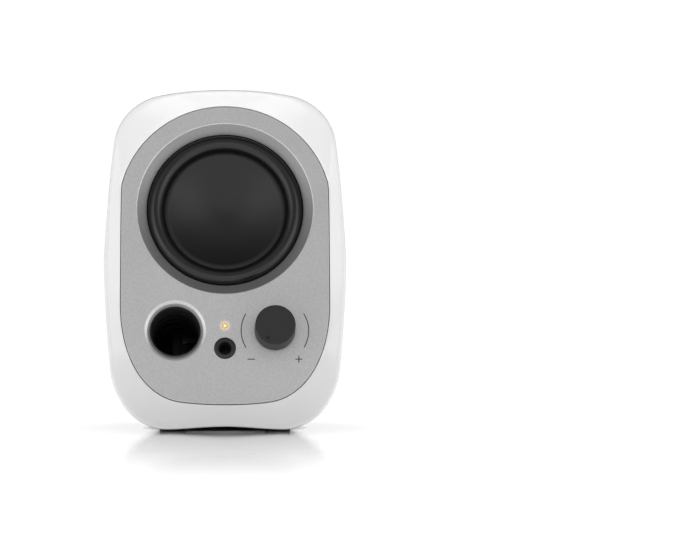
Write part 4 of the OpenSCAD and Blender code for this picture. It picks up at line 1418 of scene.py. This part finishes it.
@dataclass
class Port:
    """The black tube of the bass port, with shallow rings inside it."""

    front: Front = field(default_factory=Front)
    start: float = 6.35
    long: float = 44.15
    ring_pitch: float = 7.5
    ring_rise: float = 0.22

    def tube(self) -> bpy.types.Object:
        """The tube, flared at its far end.

        Returns:
            The tube.
        """
        r, end = self.front.port_r, self.start + self.long
        out = r + self.front.port_wall
        profile = [(out, self.start), (out, end), (r + 1.2, end), (r, end - 2)]
        d = end - 5
        while d > self.start + 3:
            profile += [(r, d), (r - self.ring_rise, d - 0.4), (r - self.ring_rise, d - 1.1), (r, d - 1.5)]
            d -= self.ring_pitch
        profile += [(r, self.start)]
        part = turned("port_tube_liner", profile, self.front.port, Ends.OPEN, Ends.JOINED)
        shade(part, 35)
        lean_back(part)
        return dress(part, "black_plastic", "cabinet", ["port_tube"])


# ---------------------------------------------------------------- driver


@dataclass
class Driver:
    """The visible moving parts of the driver: its cone, and the rubber roll round it."""

    centre: Flat = (0.0, 96.2)
    roll_mid: float = 29.7
    roll_r: float = 3.4
    rubber: float = 0.5
    land: float = 1.5
    inner_land: float = 0.45
    flange: float = 6.2
    cone_r: float = 26.0
    cone_edge: float = 6.25
    dish_depth: float = 8.0
    dish_power: float = 1.7
    paper: float = 0.6
    coil_r: float = 10.0
    spider_d: float = 20.25
    spider_r: float = 20.9
    shelf_r: float = 24.6
    cloth: float = 0.4
    wave_rise: float = 0.65
    wave_pitch: float = 3.6
    wave_fade: float = 1.5
    lead_r: float = 0.32
    lead_route: tuple[Place, ...] = ((12, 13.06, 3), (15, 14.06, 5.4), (19, 14.26, 6.6), (24.6, 15.8, 7.2),
                                     (28.9, 15.4, 6.9), (29.7, 15.2, 5), (30.3, 15.2, 4), (32.7, 15.2, 4))

    def surround(self) -> bpy.types.Object:
        """The half roll, which bends from the basket's flange to the cone.

        Returns:
            The roll.
        """
        skin = self.flange - self.rubber
        outer, inner = self.roll_mid + self.roll_r, self.roll_mid - self.roll_r
        bead = [(outer + 0.35, skin), (outer + 0.12, skin - 0.05)]
        front = [p for p in arc((self.roll_mid, skin), self.roll_r, 0, -180, 32)]
        back = [p for p in arc((self.roll_mid, self.flange), self.roll_r - self.rubber, -180, 0, 24)]
        profile = [(outer + self.land, self.flange), (outer + self.land, skin + 0.1),
                   (outer + self.land - 0.1, skin), *bead, *front[1:-1],
                   (inner - 0.1, skin - 0.03), (inner - 0.22, skin - 0.16), (inner - 0.36, skin - 0.16),
                   (inner - self.inner_land, skin), (inner - self.inner_land, self.flange), *back]
        part = turned("surround_roll", profile, self.centre, Ends.OPEN, Ends.JOINED, 144)
        shade(part, 50)
        lean_back(part)
        dress(part, "surround_rubber", "", ["surround"])
        return self.flexed(part, inner, outer)

    def flexed(self, part: bpy.types.Object, inner: float, outer: float) -> bpy.types.Object:
        """Lets a ring follow the cone at its inner edge and the basket at its outer edge.

        Args:
            part: the ring, leaned back.
            inner: radius up to which it follows the cone.
            outer: radius from which it stays with the basket.

        Returns:
            The ring.
        """
        across = Vector((outer * MM, 0, 0))
        middle = LEAN.point(self.centre[0], self.flange, self.centre[1])
        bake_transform(part, "cabinet", "diaphragm", tuple(middle + across), tuple(middle))
        weights = part.data.attributes["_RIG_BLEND"].data
        for vert, weight in zip(part.data.vertices, weights):
            away = vert.co - middle
            radius = (away - OUTWARD * away.dot(OUTWARD)).length / MM
            weight.value = ramp((outer - radius) / (outer - inner))
        return part

    def spider(self) -> bpy.types.Object:
        """The corrugated cloth disc that centres the coil.

        Returns:
            The disc.
        """
        d, first, last = self.spider_d, self.coil_r + 1.6, self.spider_r
        radii = [first + (last - first) * i / 44 for i in range(45)]
        wave = [(r, self.wave_rise * math.sin(math.tau * (r - first) / self.wave_pitch)
                 * min(1.0, (last - r) / self.wave_fade)) for r in radii]
        rim = self.shelf_r - 0.1
        inner, back = self.coil_r + 0.05, d + self.cloth
        profile = [(inner, d), *[(r, d + w) for r, w in wave], (rim, d), (rim, back),
                   *[(r, back + w) for r, w in reversed(wave)], (inner, back)]
        part = turned("spider_disc", profile, self.centre, Ends.OPEN, Ends.JOINED, 120)
        shade(part, 50)
        lean_back(part)
        dress(part, "spider_cloth", "", ["spider"])
        return self.flexed(part, self.coil_r + 1, last)

    def leads(self) -> bpy.types.Object:
        """The two bare flexible leads from the terminal strip to the cone.

        Returns:
            The leads, as one piece.
        """
        u, v = self.centre
        made = []
        for side in (-1, 1):
            route = [(u + reach, d, v + side * rise) for reach, d, rise in self.lead_route]
            made.append(strand("lead", route, self.lead_r))
        part = joined(*made)
        part.name = "flexible_leads"
        shade(part, 60)
        lean_back(part)
        dress(part, "copper_wire", "", ["tinsel_leads"])
        still = LEAN.point(u + self.shelf_r, self.flange, v)
        moving = LEAN.point(u + self.coil_r + 3, self.flange, v)
        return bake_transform(part, "cabinet", "diaphragm", tuple(still), tuple(moving))

    def dish(self, r: float) -> float:
        """Depth of the cone's face at a radius."""
        return self.cone_edge + self.dish_depth * (1 - (r / (self.cone_r - 1.6)) ** self.dish_power)

    def cone(self) -> bpy.types.Object:
        """The one-piece dished cone, with a fine step where the roll is glued on.

        Returns:
            The cone.
        """
        flat, steps = self.cone_r - 1.6, 36
        radii = [flat * i / steps for i in range(1, steps + 1)]
        profile = [(r, self.dish(r) + self.paper * 1.15) for r in radii]
        profile += [(self.cone_r, self.cone_edge + self.paper), (self.cone_r, self.cone_edge + 0.06),
                    (self.cone_r - 0.08, self.cone_edge)]
        profile += [(r, self.dish(r)) for r in reversed(radii)]
        part = turned("cone_dish", profile, self.centre, count=144)
        shade(part, 40)
        lean_back(part)
        return dress(part, "cone_fibre", "diaphragm", ["cone"])


# ---------------------------------------------------------------- controls


@dataclass
class Controls:
    """What is touched or looked at on the front: volume knob, headphone socket and power light."""

    front: Front = field(default_factory=Front)
    knob_foot_r: float = 8.6
    knob_face_r: float = 8.4
    knob_rise: float = 9.5
    knob_foot: float = 1.4
    knob_wall: float = 1.6
    hub_r: float = 4.6
    dimple_r: float = 0.8
    dimple_at: float = 6.3
    dimple_turn: float = 30.0
    bore_r: float = 1.8
    bore_l: float = 15.0
    collar_r: float = 4.45
    collar_face: float = 1.5
    lens_r: float = 1.1
    lens_face: float = 1.85

    def knob(self) -> bpy.types.Object:
        """The volume knob, hollow behind, with a round pointer dimple.

        Returns:
            The knob.
        """
        face, foot, rounding = -self.knob_rise, self.knob_foot, 0.55
        u, v = self.front.knob
        profile = [(self.knob_face_r - rounding - 0.02, face)]
        for i in range(1, 7):
            a = math.pi / 2 * i / 6
            r = self.knob_face_r - rounding * (1 - math.sin(a))
            profile.append((r, face + rounding * (1 - math.cos(a))))
        inner_r = self.knob_foot_r - self.knob_wall
        profile += [(self.knob_foot_r, foot - 0.25), (self.knob_foot_r - 0.08, foot - 0.07),
                    (self.knob_foot_r - 0.25, foot), (inner_r, foot), (inner_r, face + self.knob_wall),
                    (self.hub_r, face + self.knob_wall), (self.hub_r, foot - 0.9)]
        part = turned("volume_knob", profile, self.front.knob, last=Ends.FLAT, first=Ends.FLAT, count=128)
        a = math.radians(self.dimple_turn)
        pick()
        u, v = u - self.dimple_at * math.sin(a), v - self.dimple_at * math.cos(a)
        place = Vector((u, face - 0.15, v)) * MM
        bpy.ops.mesh.primitive_uv_sphere_add(segments=40, ring_count=24, radius=self.dimple_r * MM,
                                             location=place)
        work(part, named("dimple"))
        shade(part, 30, weighted=True)
        lean_back(part)
        return dress(part, "knob_plastic", "knob", ["knob_cap"])

    def socket_profile(self, face: float, inward: int) -> list[Flat]:
        """Profile of a small round socket, from the back of its collar to the bottom of its bore.

        Args:
            face: depth of the collar's face.
            inward: 1 where the bore runs back, -1 where it runs forward.

        Returns:
            Radius and depth of each ring.
        """
        end = face + inward * (self.bore_l + 0.4)
        k = inward
        mouth = self.bore_r + 1.1
        out, bore = self.collar_r, self.bore_r
        collar = [(out, 0.45), (out - 0.08, 0.22), (out - 0.3, 0.05), (out - 0.5, 0)]
        funnel = [(mouth, 0), (mouth - 0.15, 0.1), (mouth - 0.3, 1.0), (bore + 0.1, 2.2), (bore, 2.5)]
        groove = [(bore, 4.6), (bore + 0.25, 4.8), (bore + 0.25, 5.8), (bore, 6.0), (bore, self.bore_l)]
        return [(out, end), *((r, face + k * d) for r, d in (*collar, *funnel, *groove))]

    def headphone_socket(self) -> bpy.types.Object:
        """The black headphone socket under the power light.

        Returns:
            The socket.
        """
        part = turned("headphone_socket", self.socket_profile(self.collar_face, 1), self.front.phones,
                      last=Ends.FLAT, first=Ends.FLAT, count=96)
        shade(part, 28)
        lean_back(part)
        return dress(part, "jack_black", "cabinet", ["headphone_jack"])

    def power_light(self) -> bpy.types.Object:
        """The domed tip of the light pipe, lit from behind.

        Returns:
            The tip.
        """
        r, face = self.lens_r, self.lens_face
        profile = [(r, face + 12), (r, face + 0.3)]
        profile += [(r * math.cos(a), face + 0.3 - 0.3 * math.sin(a)) for a in
                    (math.pi / 2 * i / 8 for i in range(1, 8))]
        part = turned("light_pipe_tip", profile, self.front.lamp, count=48)
        shade(part, 40)
        lean_back(part)
        return dress(part, "clear_plastic", "cabinet", ["light_pipe"])


# ---------------------------------------------------------------- back


@dataclass
class Back:
    """The rear panel in its recess, with its screws and its three sockets."""

    panel: Flat = (44.0, 31.0)
    panel_v: float = 60.0
    face: float = 81.6
    thick: float = 2.0
    corner: float = 4.0
    ledge: float = 2.0
    fit: float = 0.15
    sockets_v: float = 57.6
    pitch: float = 12.5
    screw_reach: Flat = (19.0, 12.5)
    screw_hole: float = 1.35
    usb: Flat = (9.0, 3.4)
    usb_round: float = 1.4
    phono_r: float = 4.15
    phono_l: float = 8.0
    phono_core_r: float = 1.7
    head_r: float = 2.2
    head_t: float = 1.4

    def outline(self, grow: float = 0.0) -> list[Flat]:
        """The panel's outline, grown by a distance on every side."""
        size = (self.panel[0] + 2 * grow, self.panel[1] + 2 * grow)
        return round_rect((0, self.panel_v), size, self.corner + grow)

    def seat_block(self) -> bpy.types.Object:
        """The solid round the recess."""
        return slab("seat", self.outline(2), self.face - self.thick - 4, self.face + 2.6)

    def seat_recess(self) -> bpy.types.Object:
        """The cutter of the recess that the panel drops into."""
        return slab("recess", self.outline(), self.face - self.thick, self.face + 18)

    def seat_window(self) -> bpy.types.Object:
        """The cutter of the window inside the ledge."""
        return slab("window", self.outline(-self.ledge), self.face - self.thick - 12, self.face)

    def ring_cut(self, part: bpy.types.Object, place: Flat, radius: float) -> None:
        """Cuts a round hole with an eased edge through the panel."""
        profile = [(radius, self.face - 8), (radius, self.face - 0.25), (radius + 0.5, self.face + 0.25)]
        work(part, turned("hole", profile, place, count=72, last=Ends.FLAT, first=Ends.FLAT))

    def plate(self) -> bpy.types.Object:
        """The black panel, with a fine groove that sets off a frame round its sockets.

        Returns:
            The panel.
        """
        d, t = self.face, self.thick
        edge = [(0.0, d - t), (0.0, d - 0.35), (0.1, d - 0.1), (0.35, d)]
        rings = [at_depth(self.outline(-self.fit - i), k) for i, k in edge]
        groove = [(1.4, d), (1.6, d - 0.25), (1.9, d - 0.25), (2.1, d)]
        rings += [at_depth(self.outline(-self.fit - i), k) for i, k in groove]
        part = skinned("rear_panel_plate", rings, Ends.FLAT, Ends.FLAT)
        self.ring_cut(part, (0, self.sockets_v), 4.5)
        self.ring_cut(part, (self.pitch, self.sockets_v), self.phono_r + 1.45)
        for u in (-1, 1):
            for v in (-1, 1):
                place = (u * self.screw_reach[0], self.panel_v + v * self.screw_reach[1])
                self.ring_cut(part, place, self.screw_hole)
        slot = round_rect((-self.pitch, self.sockets_v), (self.usb[0] + 0.3, self.usb[1] + 0.3), 1.5)
        work(part, slab("slot", slot, d - 6, d + 3))
        shade(part, 28, weighted=True)
        lean_back(part)
        return dress(part, "black_plastic", "cabinet", ["rear_panel"])

    def screws(self) -> list[bpy.types.Object]:
        """Four pan-head screws with crossed recesses: one is modelled and the others are copies.

        Returns:
            The screws.
        """
        u, v = self.screw_reach[0], self.panel_v + self.screw_reach[1]
        seat, top = self.face, self.face + self.head_t
        profile = [(1.05, seat - 5), (1.05, seat), (self.head_r, seat), (self.head_r, seat + 0.55)]
        profile += [(self.head_r * math.cos(a) ** 0.6, seat + 0.55 + (self.head_t - 0.55) * math.sin(a))
                    for a in (math.radians(k) for k in (20, 40, 55, 68, 80))]
        first = turned("rear_panel_screw_1", profile, (u, v), count=64, last=Ends.FLAT, first=Ends.FLAT)
        for size in ((2.5, 1.6, 0.55), (0.55, 1.6, 2.5)):
            work(first, block("cross", (u, top, v), size))
        shade(first, 30)
        made = [first]
        for index, shift in enumerate(((-2 * u, 0), (0, -2 * self.screw_reach[1]),
                                       (-2 * u, -2 * self.screw_reach[1])), start=2):
            made.append(copied(first, f"rear_panel_screw_{index}", (shift[0], 0, shift[1])))
        for part in made:
            lean_back(part)
            dress(part, "screw_steel", "cabinet", ["rear_panel_screws"])
        return made

    def usb_shell(self) -> bpy.types.Object:
        """The pressed metal shell of the power socket, with its tongue.

        Returns:
            The shell.
        """
        centre, d = (-self.pitch, self.sockets_v), self.face
        out = round_rect(centre, self.usb, self.usb_round)
        hole = round_rect(centre, (self.usb[0] - 0.6, self.usb[1] - 0.6), self.usb_round - 0.3)
        rings = [at_depth(out, d - 9), at_depth(out, d + 0.1), at_depth(inset(out, 0.1), d + 0.2),
                 at_depth(inset(hole, -0.08), d + 0.2), at_depth(hole, d + 0.08), at_depth(hole, d - 7.6)]
        part = skinned("usb_socket_shell", rings, Ends.FLAT, Ends.FLAT)
        tongue = block("tongue", (centre[0], d - 4.3, centre[1]), (6.6, 7.0, 0.7))
        joined(part, tongue)
        shade(part, 30)
        lean_back(part)
        return dress(part, "socket_metal", "cabinet", ["usb_socket"])

    def line_in(self, controls: Controls) -> bpy.types.Object:
        """The green audio input.

        Args:
            controls: the front controls, whose socket profile it shares.

        Returns:
            The socket.
        """
        part = turned("line_in_socket", controls.socket_profile(self.face + 0.4, -1), (0, self.sockets_v),
                      last=Ends.FLAT, first=Ends.FLAT, count=96)
        shade(part, 28)
        lean_back(part)
        return dress(part, "jack_green", "cabinet", ["line_in_jack"])

    def speaker_out(self) -> list[bpy.types.Object]:
        """The phono output: a turned metal sleeve, and the plastic core and collar that hold it.

        Returns:
            The sleeve and its core.
        """
        centre, d, r = (self.pitch, self.sockets_v), self.face, self.phono_r
        end = d + self.phono_l
        bore = r - 0.45
        sleeve = turned("speaker_out_sleeve", [
            (r, d - 2), (r, d + 1.6), (r - 0.12, d + 1.7), (r - 0.12, d + 2.0), (r, d + 2.1),
            (r, end - 0.25), (r - 0.08, end - 0.07), (r - 0.2, end), (bore, end), (bore, d - 2)],
            centre, Ends.OPEN, Ends.JOINED)
        pin = self.phono_core_r
        core = [(r + 1.4, d - 3), (r + 1.4, d + 0.35), (r + 1.25, d + 0.5), (r + 0.02, d + 0.5),
                (r + 0.02, d - 1), (bore - 0.02, d - 1), (bore - 0.02, end - 0.5), (bore - 0.12, end - 0.4),
                (pin + 0.3, end - 0.4), (pin, end - 0.7), (pin, d - 2)]
        collar = turned("speaker_out_core", core, centre, Ends.FLAT, Ends.FLAT)
        for part, slot in ((sleeve, "phono_metal"), (collar, "jack_black")):
            shade(part, 28)
            lean_back(part)
            dress(part, slot, "cabinet", ["speaker_out_socket"])
        return [sleeve, collar]


# ---------------------------------------------------------------- carried-over parts


def finish_inner_parts() -> None:
    """Gives each part that is carried over the finish of its own slot."""
    for row in frame["record"]["subparts"]:
        part = frame["nodes"][row["node"]]
        if part.hide_render:
            continue
        material = Paint.of(row["material_slot"])
        if not part.material_slots:
            part.data.materials.append(material)
        for place in part.material_slots:
            place.material = material
        LOG.info("%s keeps its shape, in %s", row["node"], row["material_slot"])


# ---------------------------------------------------------------- studio


@dataclass
class Studio:
    """The pale floor, the soft light and the camera.

    Args:
        lens: focal length, in mm.
        frame_w: width seen at the front of the speaker, in mm.
        front_y: depth of the speaker's front, in mm.
        eye: height of the camera, in mm.
        aspect: height of the frame over its width.
        sensor: width of the sensor, in mm.
        object_left: how far left of the middle the speaker stands, as a share of the frame's width.
        foot_row: how far down the speaker's front meets the floor, as a share of the frame's height.
        floor_glow: brightness of the floor's own light.
        polish: share of the floor's light that it mirrors close to the speaker.
        polish_reach: distances over which the polish ends, in metres.
        grazing: how flat a view is where the polish starts, and where it is full.
        fill: brightness of the surroundings.
        side_fill: their brightness straight to the sides.
        sides: how far to the side a ray points where that starts, and where it is full.
        white: brightness of the backdrop.
        footprint: how the floor's shadow is narrowed across, in depth and up.
        lit: distances over which the floor's own light rises from a painted shadow round the speaker to full, in
            metres.
        clear: distances over which its polish starts, in metres.
        backdrop: heights of view over which the mirrored backdrop ends.
        fade: heights of view over which the surroundings darken.
    """

    lens: float = 105.0
    frame_w: float = 293.0
    front_y: float = -45.0
    eye: float = 34.0
    aspect: float = 0.76143
    sensor: float = 36.0
    object_left: float = 0.17857
    foot_row: float = 0.80957
    floor_glow: float = 0.95
    polish: float = 0.88
    polish_reach: Flat = (0.10, 0.56)
    grazing: Flat = (0.76, 0.90)
    fill: float = 0.48
    side_fill: float = 0.30
    sides: Flat = (0.70, 0.95)
    white: float = 1.02
    footprint: Place = (1.4, 1.0, 1.0)
    lit: Flat = (0.055, 0.11)
    clear: Flat = (0.040, 0.052)
    backdrop: Flat = (0.18, 0.34)
    fade: Flat = (0.30, 0.98)

    def floor(self) -> None:
        """A wide pale floor that gives off its own even light, with a painted shadow where that light fades out
        round the speaker, polished close to the speaker and matt further out.
        """
        pick()
        bpy.ops.mesh.primitive_plane_add(size=24)
        floor = named("studio_floor")
        material = bpy.data.materials.new("studio_floor")
        material.use_nodes = True
        g = Graph(material.node_tree)
        where = g.add("ShaderNodeTexCoord").outputs["Object"]
        away = g.add("ShaderNodeVectorMath", {0: where}, operation="LENGTH").outputs["Value"]
        oval = g.add("ShaderNodeVectorMath", {0: where, 1: self.footprint}, operation="MULTIPLY")
        length = g.add("ShaderNodeVectorMath", {0: oval.outputs["Vector"]}, operation="LENGTH")
        under = length.outputs["Value"]
        # Painted shadow: the floor's own light is held off under and round the speaker.
        lit = g.add("ShaderNodeMapRange", {"Value": under, "From Min": self.lit[0], "From Max": self.lit[1],
                                           "To Max": self.floor_glow}, interpolation_type="SMOOTHSTEP")
        white = g.add("ShaderNodeCombineColor", {k: lit.outputs[0] for k in range(3)})
        matt = g.add("ShaderNodeBsdfPrincipled", {
            "Base Color": (0.9, 0.9, 0.9, 1), "Roughness": 0.7, "Emission Color": white.outputs[0],
            "Emission Strength": 1.0, "Specular IOR Level": 0.0})
        gloss = g.add("ShaderNodeBsdfGlossy", {"Color": (0.95, 0.95, 0.95, 1), "Roughness": 0.09})
        near = g.add("ShaderNodeMapRange", {
            "Value": away, "From Min": self.polish_reach[0], "From Max": self.polish_reach[1],
            "To Min": self.polish, "To Max": 0.0}, interpolation_type="SMOOTHSTEP")
        facing = g.add("ShaderNodeLayerWeight", {"Blend": 0.5}).outputs["Facing"]
        grazing = g.add("ShaderNodeMapRange", {"Value": facing, "From Min": self.grazing[0],
                                               "From Max": self.grazing[1]})
        clear = g.add("ShaderNodeMapRange", {"Value": under, "From Min": self.clear[0],
                                             "From Max": self.clear[1]})
        share = g.math("MULTIPLY", g.math("MULTIPLY", near.outputs[0], clear.outputs[0]), grazing.outputs[0])
        both = g.add("ShaderNodeMixShader", {0: share, 1: matt.outputs[0], 2: gloss.outputs[0]})
        out = g.add("ShaderNodeOutputMaterial")
        g.tree.links.new(both.outputs[0], out.inputs["Surface"])
        floor.data.materials.append(material)

    def world(self) -> None:
        """A white backdrop to the eye and the floor's polish, and a dimmer fill for everything else."""
        world = bpy.data.worlds.new("studio")
        bpy.context.scene.world = world
        world.use_nodes = True
        g = Graph(world.node_tree)
        way = g.add("ShaderNodeSeparateXYZ", {0: g.add("ShaderNodeTexCoord").outputs["Generated"]})
        fade = g.add("ShaderNodeValToRGB", {0: way.outputs["Z"]})
        low, high = fade.color_ramp.elements
        low.position, high.position = self.fade
        low.color, high.color = (1, 1, 1, 1), (0.12, 0.12, 0.125, 1)
        aside = g.math("ABSOLUTE", way.outputs["X"])
        dim = g.add("ShaderNodeMapRange", {
            "Value": aside, "From Min": self.sides[0], "From Max": self.sides[1],
            "To Min": self.fill, "To Max": self.side_fill})
        low_down = g.add("ShaderNodeMapRange", {"Value": way.outputs["Z"], "From Min": self.backdrop[0],
                                                "From Max": self.backdrop[1], "To Min": 1.0, "To Max": 0.0})
        rays = g.add("ShaderNodeLightPath").outputs
        mirrored = g.math("MULTIPLY", rays["Is Glossy Ray"], low_down.outputs[0])
        seen = g.math("MAXIMUM", rays["Is Camera Ray"], mirrored)
        strength = g.add("ShaderNodeMapRange", {"Value": seen, "To Min": dim.outputs[0],
                                                "To Max": self.white})
        light = g.add("ShaderNodeBackground", {"Color": fade.outputs[0], "Strength": strength.outputs[0]})
        out = g.add("ShaderNodeOutputWorld")
        g.tree.links.new(light.outputs[0], out.inputs["Surface"])

    def softbox(self, name: str, place: Place, size: Flat, power: float) -> None:
        """A rectangular soft light that faces the middle of the speaker.

        Args:
            name: the light's name.
            place: where it hangs, in metres.
            size: its width and height, in metres.
            power: its power, in watts.
        """
        light = bpy.data.lights.new(name, "AREA")
        light.shape, light.size, light.size_y, light.energy = "RECTANGLE", size[0], size[1], power
        lamp = bpy.data.objects.new(name, light)
        bpy.context.scene.collection.objects.link(lamp)
        lamp.location = place
        lamp.rotation_euler = (Vector((0, 0, 0.07)) - Vector(place)).to_track_quat("-Z", "Y").to_euler()

    def lights(self) -> None:
        """Two tall boxes before the sides, one above the front, one facing it and one behind."""
        self.softbox("side_left", (-0.82, -0.84, 0.35), (0.6, 1.0), 3.0)
        self.softbox("side_right", (0.82, -0.84, 0.35), (0.6, 1.0), 3.0)
        self.softbox("over_front", (0.0, -0.72, 0.95), (1.2, 0.6), 1.4)
        self.softbox("before", (0.0, -1.3, 0.30), (0.45, 0.35), 0.6)
        self.softbox("behind", (0.0, 1.2, 0.7), (1.0, 0.5), 2.4)

    def camera(self) -> None:
        """A level camera before the speaker, shifted so that it stands left of the middle."""
        data = bpy.data.cameras.new("camera")
        data.lens, data.sensor_width = self.lens, self.sensor
        camera = bpy.data.objects.new("camera", data)
        bpy.context.scene.collection.objects.link(camera)
        away = self.frame_w * self.lens / self.sensor
        camera.location = Vector((0, self.front_y - away, self.eye)) * MM
        camera.rotation_euler = (math.pi / 2, 0, 0)
        data.shift_x = self.object_left
        data.shift_y = self.aspect * (self.foot_row - 0.5) - self.eye / self.frame_w
        bpy.context.scene.camera = camera

    def build(self) -> None:
        """Sets the whole studio up."""
        self.floor()
        self.world()
        self.lights()
        self.camera()
        bpy.context.scene.view_settings.view_transform = "Standard"


def main() -> None:
    """Builds the speaker's pieces in order, then the studio."""
    logging.basicConfig(level=logging.INFO, format="%(name)s: %(message)s")
    build_groups()
    cabinet = Cabinet()
    front = Front(cabinet)
    cabinet.shell()
    cabinet.bezel(inset(front.outline(), -front.gap), front.face)
    cabinet.feet()
    front.plate()
    Port(front).tube()
    driver = Driver()
    driver.surround()
    driver.cone()
    driver.spider()
    driver.leads()
    controls = Controls(front)
    controls.knob()
    controls.headphone_socket()
    controls.power_light()
    back = Back()
    back.plate()
    back.screws()
    back.usb_shell()
    back.line_in(controls)
    back.speaker_out()
    finish_inner_parts()
    Studio().build()
    pick()


if __name__ == "__main__":
    main()
